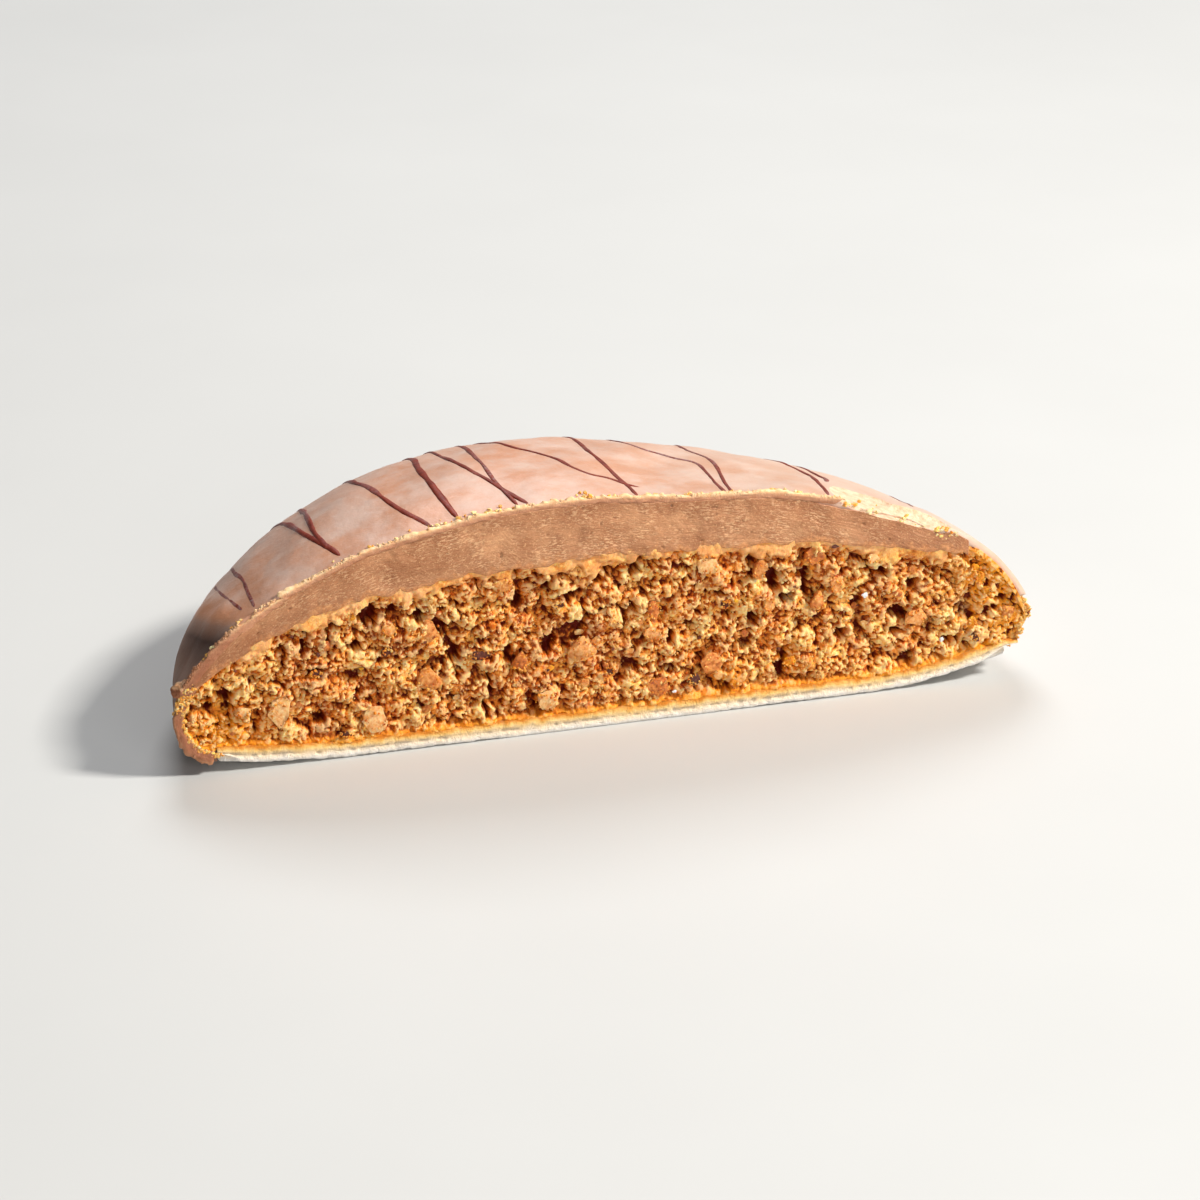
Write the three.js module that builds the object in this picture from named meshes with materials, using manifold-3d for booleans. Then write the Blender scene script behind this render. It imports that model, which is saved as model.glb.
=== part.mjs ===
// A lebkuchen cut in half: a round spiced nut biscuit baked on a wafer disc, topped with a domed
// layer of nougat, coated in milk chocolate and striped with thin strands of dark chocolate.
// The half lies on its wafer with the cut face towards -Y. Millimetres, +Z up, and the origin is
// the middle of the resting face's bounding box.
//
// The model is made as the real one is: each layer is turned as a whole round, bent to the uneven
// shape of a hand-made biscuit, and then cut by one knife. The knife's face is flat where it meets
// chocolate, nougat and wafer, and craggy where it tears the crumb.

import * as THREE from 'three';
import { mergeVertices } from 'three/addons/utils/BufferGeometryUtils.js';
import Module from 'manifold-3d';

// ---- Driving dimensions -----------------------------------------------------------------------

const ROUND_RADIUS = 45; // the whole biscuit is 90 mm across
const CUT_OFFSET = 2; // the knife passed this far behind the middle
const DOME_HEIGHT = 24.7; // table to the top of the chocolate
const RIM_WOBBLE = { reach: 0.25, lobes: 3, turn: 0.6 }; // how the rim strays from a true circle

// The two ends of the cut differ, and every other direction lies between them.
//   rim: height of the widest place      domePower: how square the dome is
//   wrap: how far the coat turns under   lift: how far the wafer's edge curls up
//   cakeDrop, cakePower: how the top of the crumb falls from the middle to where the nougat ends
const LEFT = { rim: 6.1, domePower: 2.1, wrap: 4.2, lift: 1.1, cakeDrop: 8.7, cakePower: 3.3, nougatEnd: 42.6 };
const RIGHT = { rim: 5.6, domePower: 2.58, wrap: 2.8, lift: 2.4, cakeDrop: 4.3, cakePower: 2.5, nougatEnd: 37.2 };

const SHOULDER = { power: 0.57, lean: 2.6 }; // how full the shoulder is, and how much it can lean
const LEAN = { left: 0.34, back: 0.6, backLeft: 2.94 }; // the directions in which it stands higher
const RIPPLE = { height: 0.18, across: 0.47, along: 0.39 }; // soft waves in the coat

const COAT = 1.0; // milk chocolate
const LIP = 0.25; // its lower edge stands this far over the wafer's underside
const CAKE_CROWN = 18.5; // table to the top of the crumb, at the middle
const WAFER = { thickness: 1.6, flatRadius: 27, curl: 1.7, edgeGap: 0.4, edgeBulge: 0.2 };
const GAP = 0.3; // left free between neighbouring layers

const STRAND = { radius: 0.42, sunk: 0.08, sides: 5, step: 4.5, rimShare: 0.985 }; // dark chocolate

const KNIFE = { width: 100, height: 30, reach: 60, below: 2 };
const CRUMB = { pitch: 2.1, depth: 2.3, cell: 0.95, seed: 20, smallest: 1.0, spread: 0.9, back: 1.5, backPower: 2.2 };

// Broken places along the cut: rough lumps taken from the coat, or left sticking to it.
const CHIP = { centre: [30.3, CUT_OFFSET, 21.7], size: [8.4, 3.5, 2.5], lean: 0.46, roughness: 0.16, seed: 5 };
const TIP_CHIP = { centre: [45.2, CUT_OFFSET - 0.2, 6.3], size: [2.1, 2.4, 2.9], lean: 0, roughness: 0.2, seed: 9 };
const SHARD = { centre: [-44, CUT_OFFSET + 0.9, 9.3], size: [1.4, 1.2, 0.9], lean: -0.6, roughness: 0.35, seed: 3 };

// How finely each layer is turned.
const TURNS = { wafer: 68, cake: 68, nougat: 60, coat: 68 };
const RINGS = { curl: 4, flat: 6, side: 3, dome: 14, lining: 12 };

// ---- Small helpers ----------------------------------------------------------------------------

const wasm = await Module();
wasm.setup();

// Numbers from 0 to 1 that are the same at every run.
function seeded(seed) {
  let state = seed;
  return () => {
    state = (state * 1664525 + 1013904223) % 4294967296;
    return state / 4294967296;
  };
}

// A value that goes from its left to its right figure as the angle turns from pi to 0.
function around(key, angle) {
  const share = (1 + Math.cos(angle)) / 2;
  return LEFT[key] * (1 - share) + RIGHT[key] * share;
}

function solid(geometry) {
  const bare = geometry.index ? geometry.toNonIndexed() : geometry.clone();
  bare.deleteAttribute('normal');
  bare.deleteAttribute('uv');
  const merged = mergeVertices(bare, 1e-4);
  return new wasm.Manifold(new wasm.Mesh({
    numProp: 3,
    vertProperties: merged.attributes.position.array,
    triVerts: new Uint32Array(merged.index.array),
  }));
}

function geometryOf(manifold) {
  const mesh = manifold.getMesh();
  const geometry = new THREE.BufferGeometry();
  geometry.setAttribute('position', new THREE.BufferAttribute(mesh.vertProperties, 3));
  geometry.setIndex(new THREE.BufferAttribute(mesh.triVerts, 1));
  geometry.computeVertexNormals();
  return geometry;
}

// A lathed solid whose section changes with the angle: sectionAt(angle) gives [radius, height] pairs
// from the axis below to the axis above.
function turned(sectionAt, segments) {
  const first = sectionAt(0).map(([r, z]) => new THREE.Vector2(r, z));
  const lathe = new THREE.LatheGeometry(first, segments);
  const position = lathe.attributes.position;
  for (let i = 0; i <= segments; i++) {
    const angle = (i % segments) / segments * 2 * Math.PI;
    sectionAt(angle).forEach(([r, z], j) => {
      position.setXYZ(i * first.length + j, r * Math.cos(angle), r * Math.sin(angle), z);
    });
  }
  return facingOut(lathe);
}

// Turning about Z instead of the lathe's own Y can leave the faces inwards; a solid needs them out.
function facingOut(geometry) {
  const made = solid(geometry);
  if (made.volume() > 0) return made;
  const index = geometry.index.array;
  for (let i = 0; i < index.length; i += 3) [index[i + 1], index[i + 2]] = [index[i + 2], index[i + 1]];
  return solid(geometry);
}

// ---- The biscuit's surfaces -------------------------------------------------------------------

function rimRadius(angle) {
  const { reach, lobes, turn } = RIM_WOBBLE;
  return ROUND_RADIUS - reach * (Math.cos(lobes * angle + turn) - Math.cos(turn));
}

// Height of the chocolate's outer face over the table, at a share of the rim's radius.
function domeHeight(share, angle) {
  const rim = around('rim', angle);
  const fall = Math.pow(Math.max(1 - Math.pow(share, around('domePower', angle)), 0), SHOULDER.power);
  const back = Math.abs(Math.sin(angle));
  const lean = LEAN.back * back - LEAN.left * Math.cos(angle) - LEAN.backLeft * back * Math.cos(angle);
  const shoulder = SHOULDER.lean * share * Math.max(1 - share * share, 0);
  const radius = share * rimRadius(angle);
  const ripple = RIPPLE.height * Math.sin(RIPPLE.across * radius * Math.cos(angle) + 1)
    * Math.sin(RIPPLE.along * radius * Math.sin(angle) + 2) * Math.max(1 - share ** 4, 0);
  return rim + (DOME_HEIGHT - rim) * fall + shoulder * lean + ripple;
}

function waferRadius(angle) {
  return rimRadius(angle) - around('wrap', angle) - WAFER.edgeGap;
}

// The wafer lies flat in the middle and curls up towards its edge.
function undersideHeight(radius, angle) {
  const rise = Math.max(radius - WAFER.flatRadius, 0) / (waferRadius(angle) - WAFER.flatRadius);
  return around('lift', angle) * Math.pow(rise, WAFER.curl);
}

function waferTop(radius, angle) {
  return undersideHeight(radius, angle) + WAFER.thickness;
}

// The top of the crumb, under the nougat.
function cakeTop(radius, angle) {
  const share = radius / around('nougatEnd', angle);
  return CAKE_CROWN - around('cakeDrop', angle) * Math.pow(share, around('cakePower', angle));
}

// The chocolate's outer section from its lower edge, round the rim and up to the middle.
function outerSection(angle, sideRings, domeRings) {
  const radius = rimRadius(angle);
  const wrap = around('wrap', angle);
  const rim = around('rim', angle);
  const edge = undersideHeight(waferRadius(angle), angle) + LIP;
  const points = [];
  for (let i = 0; i < sideRings; i++) {
    const turn = Math.PI / 2 * (1 - i / sideRings);
    points.push([radius - wrap * (1 - Math.cos(turn)), rim - (rim - edge) * Math.sin(turn)]);
  }
  for (let i = 0; i < domeRings; i++) {
    const share = Math.cos(Math.PI / 2 * i / domeRings);
    points.push([share * radius, domeHeight(share, angle)]);
  }
  return [...points, [0, domeHeight(0, angle)]];
}

// The same section, moved in from the surface by a depth.
function innerSection(angle, depth, sideRings, domeRings) {
  const outer = outerSection(angle, sideRings, domeRings);
  return outer.map(([r, z], i) => {
    if (i === outer.length - 1) return [0, z - depth];
    const [r0, z0] = outer[Math.max(i - 1, 0)];
    const [r1, z1] = outer[i + 1];
    const length = Math.hypot(r1 - r0, z1 - z0);
    return [r - depth * (z1 - z0) / length, z + depth * (r1 - r0) / length];
  });
}

// Height of a section at a radius, found on its upper part.
function heightAt(section, radius) {
  for (let i = section.length - 1; i > 0; i--) {
    const [ra, za] = section[i];
    const [rb, zb] = section[i - 1];
    if (radius >= ra && radius <= rb) return za + (zb - za) * (radius - ra) / (rb - ra);
  }
  return section[0][1];
}

// A point on a section's side, from where it passes the wafer's edge to where the nougat ends.
function onSide(section, nougatEnd, share) {
  const run = [...section.filter(([r]) => r > nougatEnd), [nougatEnd, heightAt(section, nougatEnd)]];
  const lengths = [0];
  for (let i = 1; i < run.length; i++) {
    lengths.push(lengths[i - 1] + Math.hypot(run[i][0] - run[i - 1][0], run[i][1] - run[i - 1][1]));
  }
  const wanted = share * lengths[lengths.length - 1];
  const i = Math.max(lengths.findIndex((length) => length >= wanted), 1);
  const part = (wanted - lengths[i - 1]) / (lengths[i] - lengths[i - 1]);
  return [0, 1].map((k) => run[i - 1][k] + (run[i][k] - run[i - 1][k]) * part);
}

// ---- The layers as whole rounds ---------------------------------------------------------------

// Shares from 0 to 1, closer together near 1 when the power is under 1.
function shares(steps, power = 1) {
  return Array.from({ length: steps + 1 }, (_, i) => Math.pow(i / steps, power));
}

function waferRound() {
  return turned((angle) => {
    const edge = waferRadius(angle);
    const radii = [0, ...shares(RINGS.curl).map((s) => WAFER.flatRadius + (edge - WAFER.flatRadius) * s)];
    const bottom = radii.map((r) => [r, undersideHeight(r, angle)]);
    const bulge = [edge + WAFER.edgeBulge, undersideHeight(edge, angle) + WAFER.thickness / 2];
    const top = radii.map((r) => [r, waferTop(r, angle)]).reverse();
    return [...bottom, bulge, ...top];
  }, TURNS.wafer);
}

function cakeRound() {
  return turned((angle) => {
    const shell = innerSection(angle, COAT + GAP, RINGS.side, RINGS.lining);
    const end = around('nougatEnd', angle);
    const bottom = shares(RINGS.flat).map((s) => [s * waferRadius(angle), waferTop(s * waferRadius(angle), angle) + GAP]);
    const side = shares(RINGS.flat, 0.7).map((s) => onSide(shell, end + GAP, s));
    const top = shares(RINGS.flat).map((s) => [s * end, cakeTop(s * end, angle)]).reverse();
    return [...bottom, ...side, ...top];
  }, TURNS.cake);
}

function nougatRound() {
  return turned((angle) => {
    const shell = innerSection(angle, COAT + GAP, RINGS.side, RINGS.dome);
    const radii = shares(RINGS.dome - 5, 0.85).map((s) => s * around('nougatEnd', angle));
    const bottom = radii.map((r) => [r, cakeTop(r, angle) + GAP]);
    const top = radii.map((r) => [r, heightAt(shell, r)]).reverse();
    return [...bottom, ...top];
  }, TURNS.nougat);
}

function coatRound() {
  return turned((angle) => [
    ...innerSection(angle, COAT, RINGS.side, RINGS.lining).reverse(),
    ...outerSection(angle, RINGS.side, RINGS.dome),
  ], TURNS.coat);
}

// ---- Dark chocolate strands -------------------------------------------------------------------

// Each strand as [x, distance behind the cut], front to back. Pairs lean together as a swinging
// nozzle lays them.
const STRANDS = [
  [[-36.6, -1], [-36.4, 9], [-35.5, 16], [-34.6, 24]],
  [[-36.9, 1], [-38.1, 8], [-37.6, 17]],
  [[-27.8, -1], [-28.2, 3], [-29.8, 12.5], [-30, 19], [-31.5, 28]],
  [[-27.6, 0.5], [-28.4, 8], [-27.8, 20], [-26, 34]],
  [[-18.1, -1], [-20.6, 6.7], [-21.8, 16.7], [-22.3, 23.5], [-24.5, 35]],
  [[-15.5, -1], [-16.6, 8.5], [-16.2, 15], [-15, 26], [-16, 39]],
  [[-8, -1], [-10.9, 5], [-12.5, 11.7], [-14.5, 20], [-19.5, 37]],
  [[-9.6, -1], [-10.8, 6.5], [-10.4, 16], [-8.2, 30], [-8.6, 41]],
  [[3.4, 3.6], [-0.5, 6.7], [-3.8, 12.6], [-6.5, 21.5], [-7, 32], [-11, 40.5]],
  [[2.5, -1], [2.2, 7], [1.4, 21], [3, 32], [1, 42]],
  [[11.3, -1], [11.9, 8.5], [12, 14.1], [8, 24], [5.5, 42]],
  [[11.8, -1], [13.7, 10], [14.4, 16], [14.6, 26], [17, 39]],
  [[22, -1], [23.3, 8], [24.2, 14], [21.5, 25], [20.5, 37]],
  [[27, 2.5], [25.3, 10], [25.8, 15], [29, 24], [28.6, 32]],
  [[33.2, -1], [32.6, 5], [33.4, 13], [35, 23]],
];

// Height of the coat's facets over a place in plan.
function coatHeight(radius, angle) {
  const turn = (angle / (2 * Math.PI) + 1) * TURNS.coat;
  const before = Math.floor(turn);
  const [low, high] = [before, before + 1].map((i) => {
    return heightAt(outerSection(i / TURNS.coat * 2 * Math.PI, RINGS.side, RINGS.dome), radius);
  });
  return low + (high - low) * (turn - before);
}

function onCoat(x, behindCut) {
  const angle = Math.atan2(CUT_OFFSET + behindCut, x);
  const radius = Math.min(Math.hypot(x, CUT_OFFSET + behindCut), STRAND.rimShare * rimRadius(angle));
  return new THREE.Vector3(
    radius * Math.cos(angle), radius * Math.sin(angle), coatHeight(radius, angle) - STRAND.sunk,
  );
}

function strand(places) {
  const plan = new THREE.CatmullRomCurve3(places.map(([x, y]) => new THREE.Vector3(x, y, 0)));
  const steps = Math.round(plan.getLength() / STRAND.step);
  const path = new THREE.CatmullRomCurve3(plan.getSpacedPoints(2 * steps).map((p) => onCoat(p.x, p.y)));
  const section = new THREE.Shape();
  for (let i = 0; i < STRAND.sides; i++) {
    const turn = i / STRAND.sides * 2 * Math.PI;
    section[i ? 'lineTo' : 'moveTo'](STRAND.radius * Math.cos(turn), STRAND.radius * Math.sin(turn));
  }
  return solid(new THREE.ExtrudeGeometry(section, { extrudePath: path, steps }));
}

// ---- Broken chocolate at the cut --------------------------------------------------------------

// A rough lump: a ball with each corner pushed in or out a little.
function lump({ centre, size, lean, roughness, seed }) {
  const ball = new THREE.IcosahedronGeometry(1, 2);
  ball.deleteAttribute('normal');
  ball.deleteAttribute('uv');
  const merged = mergeVertices(ball, 1e-4);
  const draw = seeded(seed);
  const position = merged.attributes.position;
  for (let i = 0; i < position.count; i++) {
    const push = 1 + roughness * (draw() - 0.5);
    position.setXYZ(i, position.getX(i) * push, position.getY(i) * push, position.getZ(i) * push);
  }
  merged.scale(...size);
  merged.rotateY(lean);
  merged.translate(...centre);
  return solid(merged);
}

// ---- The knife --------------------------------------------------------------------------------

// The places where crumb clumps meet the knife: one in each square of a loose net.
function crumbClumps() {
  const draw = seeded(CRUMB.seed);
  const clumps = [];
  for (let x = -KNIFE.width / 2; x < KNIFE.width / 2; x += CRUMB.pitch) {
    for (let z = 0; z < DOME_HEIGHT; z += CRUMB.pitch) {
      clumps.push({
        x: x + draw() * CRUMB.pitch,
        z: z + draw() * CRUMB.pitch,
        radius: CRUMB.smallest + CRUMB.spread * draw(),
        back: CRUMB.back * Math.pow(draw(), CRUMB.backPower),
      });
    }
  }
  return clumps;
}

// How far the torn crumb lies behind the knife's plane.
function crumbDepth(clumps, x, z) {
  let depth = CRUMB.depth;
  for (const clump of clumps) {
    const away = Math.hypot(x - clump.x, z - clump.z) / clump.radius;
    if (away < 1) depth = Math.min(depth, clump.back + clump.radius * (1 - Math.sqrt(1 - away * away)));
  }
  return depth;
}

function knife(depthAt, cell) {
  const { width, height, reach, below } = KNIFE;
  const box = new THREE.BoxGeometry(width, reach, height, Math.round(width / cell), 1, Math.round(height / cell));
  box.translate(0, CUT_OFFSET - reach / 2, height / 2 - below);
  const position = box.attributes.position;
  for (let i = 0; i < position.count; i++) {
    if (position.getY(i) > CUT_OFFSET - reach / 2) {
      position.setY(i, CUT_OFFSET + depthAt(position.getX(i), position.getZ(i)));
    }
  }
  return solid(box);
}

// ---- Assembly ---------------------------------------------------------------------------------

function glaze() {
  const striped = STRANDS.reduce((made, places) => made.add(strand(places)), coatRound());
  return striped.subtract(lump(CHIP)).subtract(lump(TIP_CHIP)).add(lump(SHARD));
}

const clumps = crumbClumps();
const flatKnife = knife(() => 0, KNIFE.height);
const crumbKnife = knife((x, z) => crumbDepth(clumps, x, z), CRUMB.cell);

const LAYERS = [
  { name: 'wafer', whole: waferRound(), tool: flatKnife, colour: 0xece0c4, roughness: 0.9 },
  { name: 'cake', whole: cakeRound(), tool: crumbKnife, colour: 0xb8722e, roughness: 0.95 },
  { name: 'nougat', whole: nougatRound().subtract(lump(CHIP)), tool: flatKnife, colour: 0xa9744b, roughness: 0.6 },
  { name: 'glaze', whole: glaze(), tool: flatKnife, colour: 0xa87556, roughness: 0.45 },
];

const lebkuchen = new THREE.Group();
for (const { name, whole, tool, colour, roughness } of LAYERS) {
  const material = new THREE.MeshStandardMaterial({ color: colour, roughness, metalness: 0 });
  const mesh = new THREE.Mesh(geometryOf(whole.subtract(tool)), material);
  mesh.name = name;
  mesh.position.y = -(CUT_OFFSET + ROUND_RADIUS) / 2;
  lebkuchen.add(mesh);
}

export default lebkuchen;
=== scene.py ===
# %% [markdown]
# # Half a lebkuchen
# A lebkuchen is a soft spiced nut biscuit baked on a thin wafer. This one is topped with nougat,
# coated in milk chocolate, striped with dark chocolate, and cut in half. The solids of its layers
# are loaded first and give every size. Each layer is then made again with the surface that it
# has on the plate: torn crumb, knife-smoothed nougat, brittle chocolate, dry wafer.

import math
import random

import bmesh
import bpy
import numpy as np
from mathutils import Matrix, Vector, noise
from mathutils.bvhtree import BVHTree


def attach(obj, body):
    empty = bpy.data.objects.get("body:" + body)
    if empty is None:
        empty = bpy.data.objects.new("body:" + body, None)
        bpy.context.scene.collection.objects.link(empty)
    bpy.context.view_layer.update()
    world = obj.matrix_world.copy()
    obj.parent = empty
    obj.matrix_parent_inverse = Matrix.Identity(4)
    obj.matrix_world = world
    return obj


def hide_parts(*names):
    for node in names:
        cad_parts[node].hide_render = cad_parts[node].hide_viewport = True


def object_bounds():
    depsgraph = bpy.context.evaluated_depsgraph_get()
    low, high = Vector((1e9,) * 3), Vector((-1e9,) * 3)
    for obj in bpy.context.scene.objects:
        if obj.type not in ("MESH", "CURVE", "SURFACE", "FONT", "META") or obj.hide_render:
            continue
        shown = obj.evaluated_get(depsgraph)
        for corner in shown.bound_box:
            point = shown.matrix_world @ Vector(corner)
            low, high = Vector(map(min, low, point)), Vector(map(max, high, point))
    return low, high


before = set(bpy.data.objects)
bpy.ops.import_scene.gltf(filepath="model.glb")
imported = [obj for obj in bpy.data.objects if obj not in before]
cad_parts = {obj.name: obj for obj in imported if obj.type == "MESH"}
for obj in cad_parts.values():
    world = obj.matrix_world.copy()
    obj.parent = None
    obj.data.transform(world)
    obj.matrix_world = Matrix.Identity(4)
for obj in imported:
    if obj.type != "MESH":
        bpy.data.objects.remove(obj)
cad_low, cad_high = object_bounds()
print("solids:", sorted(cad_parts))

# %% [markdown]
# ## The camera
# The photo was taken from a little above the table and from the left of the cut. The camera is
# made first, from the distance and the two angles at which the outline and the layers of the
# solids lie over the photo.

# %% Camera
CAMERA = {"left": math.radians(16.32), "up": math.radians(25.51), "distance": 0.399, "lens": 117.9}
AIM = {"right": -0.00187, "up": 0.01272}

foot = Vector((0, cad_low.y, 0))
to_camera = Vector((
    -math.sin(CAMERA["left"]) * math.cos(CAMERA["up"]),
    -math.cos(CAMERA["left"]) * math.cos(CAMERA["up"]),
    math.sin(CAMERA["up"]),
))
view_right = Vector((math.cos(CAMERA["left"]), -math.sin(CAMERA["left"]), 0))
view_up = view_right.cross(-to_camera)
camera_data = bpy.data.cameras.new("camera")
camera_data.lens = CAMERA["lens"]
camera_data.clip_start = 0.01
camera = bpy.data.objects.new("camera", camera_data)
camera.location = foot + to_camera * CAMERA["distance"]
aim = foot + view_right * AIM["right"] + view_up * AIM["up"]
camera.rotation_euler = (aim - camera.location).to_track_quat("-Z", "Y").to_euler()
bpy.context.collection.objects.link(camera)
bpy.context.scene.camera = camera
print("camera at", [round(value, 3) for value in camera.location])

# %% [markdown]
# ## The biscuit's surfaces
# The layers aren't true circles or domes: a hand-made biscuit leans, and its two ends differ. So
# its shape is written once, as functions of the angle round the middle and of the radius, in
# millimetres. Every piece below asks these functions where it lies, which keeps the layers on
# each other and on the solids.

# %% Driving sizes in millimetres
ROUND_RADIUS = 45.0
CUT_OFFSET = 2.0
DOME_HEIGHT = 24.7
RIM_WOBBLE = {"reach": 0.25, "lobes": 3, "turn": 0.6}
LEFT = {"rim": 6.1, "dome_power": 2.1, "wrap": 4.2, "lift": 1.1,
        "cake_drop": 8.7, "cake_power": 3.3, "nougat_end": 42.6}
RIGHT = {"rim": 5.6, "dome_power": 2.58, "wrap": 2.8, "lift": 2.4,
         "cake_drop": 4.3, "cake_power": 2.5, "nougat_end": 37.2}
SHOULDER = {"power": 0.57, "lean": 2.6}
LEAN = {"left": 0.34, "back": 0.6, "back_left": 2.94}
RIPPLE = {"height": 0.18, "across": 0.47, "along": 0.39}
COAT = 1.0
LIP = 0.25
CAKE_CROWN = 18.5
WAFER = {"thickness": 1.6, "flat_radius": 27.0, "curl": 1.7, "edge_gap": 0.4}

# %% Surfaces as functions
def around(key, angle):
    """A size that goes from its left to its right value as the angle turns from pi to 0."""
    share = (1 + np.cos(angle)) / 2
    return LEFT[key] * (1 - share) + RIGHT[key] * share


def rim_radius(angle):
    lobes = np.cos(RIM_WOBBLE["lobes"] * angle + RIM_WOBBLE["turn"])
    return ROUND_RADIUS - RIM_WOBBLE["reach"] * (lobes - math.cos(RIM_WOBBLE["turn"]))


def dome_height(share, angle):
    """Height of the chocolate's outer face, at a share of the rim's radius."""
    rim = around("rim", angle)
    fall = np.maximum(1 - share ** around("dome_power", angle), 0) ** SHOULDER["power"]
    back = np.abs(np.sin(angle))
    lean = LEAN["back"] * back - (LEAN["left"] + LEAN["back_left"] * back) * np.cos(angle)
    shoulder = SHOULDER["lean"] * share * np.maximum(1 - share ** 2, 0)
    radius = share * rim_radius(angle)
    ripple = RIPPLE["height"] * np.sin(RIPPLE["across"] * radius * np.cos(angle) + 1)
    ripple = ripple * np.sin(RIPPLE["along"] * radius * np.sin(angle) + 2)
    ripple = ripple * np.maximum(1 - share ** 4, 0)
    return rim + (DOME_HEIGHT - rim) * fall + shoulder * lean + ripple


def wafer_radius(angle):
    return rim_radius(angle) - around("wrap", angle) - WAFER["edge_gap"]


def underside(radius, angle):
    """The wafer lies flat in the middle and curls up towards its edge."""
    flat = WAFER["flat_radius"]
    rise = np.maximum(radius - flat, 0) / (wafer_radius(angle) - flat)
    return around("lift", angle) * rise ** WAFER["curl"]


def cake_top(radius, angle):
    share = radius / around("nougat_end", angle)
    return CAKE_CROWN - around("cake_drop", angle) * share ** around("cake_power", angle)


def coat_section(angle, depth, side, dome):
    """The coat's section from its lower edge round the rim to the middle, moved in by a depth."""
    radius = rim_radius(angle)
    wrap = around("wrap", angle)
    rim = around("rim", angle)
    edge = underside(wafer_radius(angle), angle) + LIP
    turn = math.pi / 2 * (1 - np.arange(side) / side)
    low = np.column_stack([radius - wrap * (1 - np.cos(turn)), rim - (rim - edge) * np.sin(turn)])
    share = np.append(np.cos(math.pi / 2 * np.arange(dome) / dome), 0)
    high = np.column_stack([share * radius, dome_height(share, angle)])
    outer = np.vstack([low, high])
    run = np.vstack([outer[1:], outer[-1:]]) - np.vstack([outer[:1], outer[:-1]])
    inward = np.column_stack([-run[:, 1], run[:, 0]]) / np.hypot(run[:, 0], run[:, 1])[:, None]
    section = outer + depth * inward
    section[-1] = (0, outer[-1, 1] - depth)
    return section


print("dome", round(float(dome_height(0.0, 0.0)), 1), "mm high in the middle")

# %% [markdown]
# ## The knife's plane
# Everything at the cut lies on one plane, and each layer's outline there is a curve. They are
# found by walking along the section on both sides of the middle. A point of the section
# at radius r meets the plane where the angle's sine is the offset over r.

# %% Lines on the knife's plane
def on_cut(x):
    """Radius and angle of a place on the knife's plane."""
    return np.hypot(x, CUT_OFFSET), np.arctan2(CUT_OFFSET, x)


def cut_curve(depth, side=12, dome=90):
    """The coat's line on the plane, from its lower edge on the left, over the top, to the right."""
    halves = []
    for towards in (-1, 1):
        half = []
        for ring in range(side + dome):
            radius = ROUND_RADIUS
            for _ in range(4):
                lean = math.asin(min(CUT_OFFSET / max(radius, CUT_OFFSET), 1))
                angle = lean if towards > 0 else math.pi - lean
                radius, height = coat_section(angle, depth, side, dome)[ring]
            if radius > CUT_OFFSET * 1.02:
                half.append((towards * math.sqrt(radius ** 2 - CUT_OFFSET ** 2), height))
        halves.append(half)
    return np.array(halves[0] + halves[1][::-1])


def run_along(curve):
    """How far along a curve each of its points lies."""
    return np.append(0, np.cumsum(np.hypot(*np.diff(curve, axis=0).T)))


def evenly(curve, count):
    """The same curve with evenly spaced points."""
    run = run_along(curve)
    wanted = np.linspace(0, run[-1], count)
    return np.column_stack([np.interp(wanted, run, line) for line in curve.T])


def bounds_of(curve):
    """Two functions of x: the curve's lower and its upper height."""
    first, last = np.argmin(curve[:, 0]), np.argmax(curve[:, 0])
    upper = curve[first:last + 1]
    left, right = curve[:first + 1][::-1], curve[last:][::-1]
    def lower_at(x):
        under_left = np.interp(x, left[:, 0], left[:, 1], right=-1)
        under_right = np.interp(x, right[:, 0], right[:, 1], left=-1)
        return np.where(x < 0, under_left, under_right)
    def upper_at(x):
        return np.interp(x, upper[:, 0], upper[:, 1])
    return lower_at, upper_at, (upper[0, 0], upper[-1, 0])


OUTER_LINE = cut_curve(0.0)
LINING_LINE = cut_curve(COAT)
lining_low, lining_high, LINING_ENDS = bounds_of(LINING_LINE)
outer_low, _, OUTER_ENDS = bounds_of(OUTER_LINE)
outer_even, lining_even = evenly(OUTER_LINE, 2000), evenly(LINING_LINE, 2000)


def spot_on_outline(place):
    return int(np.argmin(np.hypot(outer_even[:, 0] - place[0], outer_even[:, 1] - place[1])))


def underside_at(x):
    radius, angle = on_cut(x)
    return underside(np.minimum(radius, wafer_radius(angle)), angle)


def cake_top_at(x):
    radius, angle = on_cut(x)
    return cake_top(np.minimum(radius, around("nougat_end", angle) * 1.02), angle)


print("cut from", round(OUTER_ENDS[0], 1), "to", round(OUTER_ENDS[1], 1), "mm")

# %% [markdown]
# ## Ways of making
# A few ways of making are used again and again. A layer of the round is a profile spun half a turn,
# bent to the section of each angle and cut by the plane. A surface that shows its grain at the cut
# is a fine grid, moved into place and given depth. Small lumps are balls of few faces, pushed about
# at random. Soft randomness over a plane comes from smooth steps between the numbers of a
# lattice, and numpy works it out for all points at once.

# %% Soft randomness
LATTICE = 128


def patches(x, y, size, seed):
    """Smooth random numbers from -1 to 1 over a plane, changing about every `size` mm."""
    lattice = np.random.default_rng(seed).uniform(-1, 1, (LATTICE, LATTICE))
    u, v = np.asarray(x) / size, np.asarray(y) / size
    column, row = np.floor(u).astype(int), np.floor(v).astype(int)
    a, b = u - column, v - row
    a, b = a * a * (3 - 2 * a), b * b * (3 - 2 * b)
    def pick(i, j):
        return lattice[i % LATTICE, j % LATTICE]
    near = pick(column, row) * (1 - a) + pick(column + 1, row) * a
    far = pick(column, row + 1) * (1 - a) + pick(column + 1, row + 1) * a
    return near * (1 - b) + far * b


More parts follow.
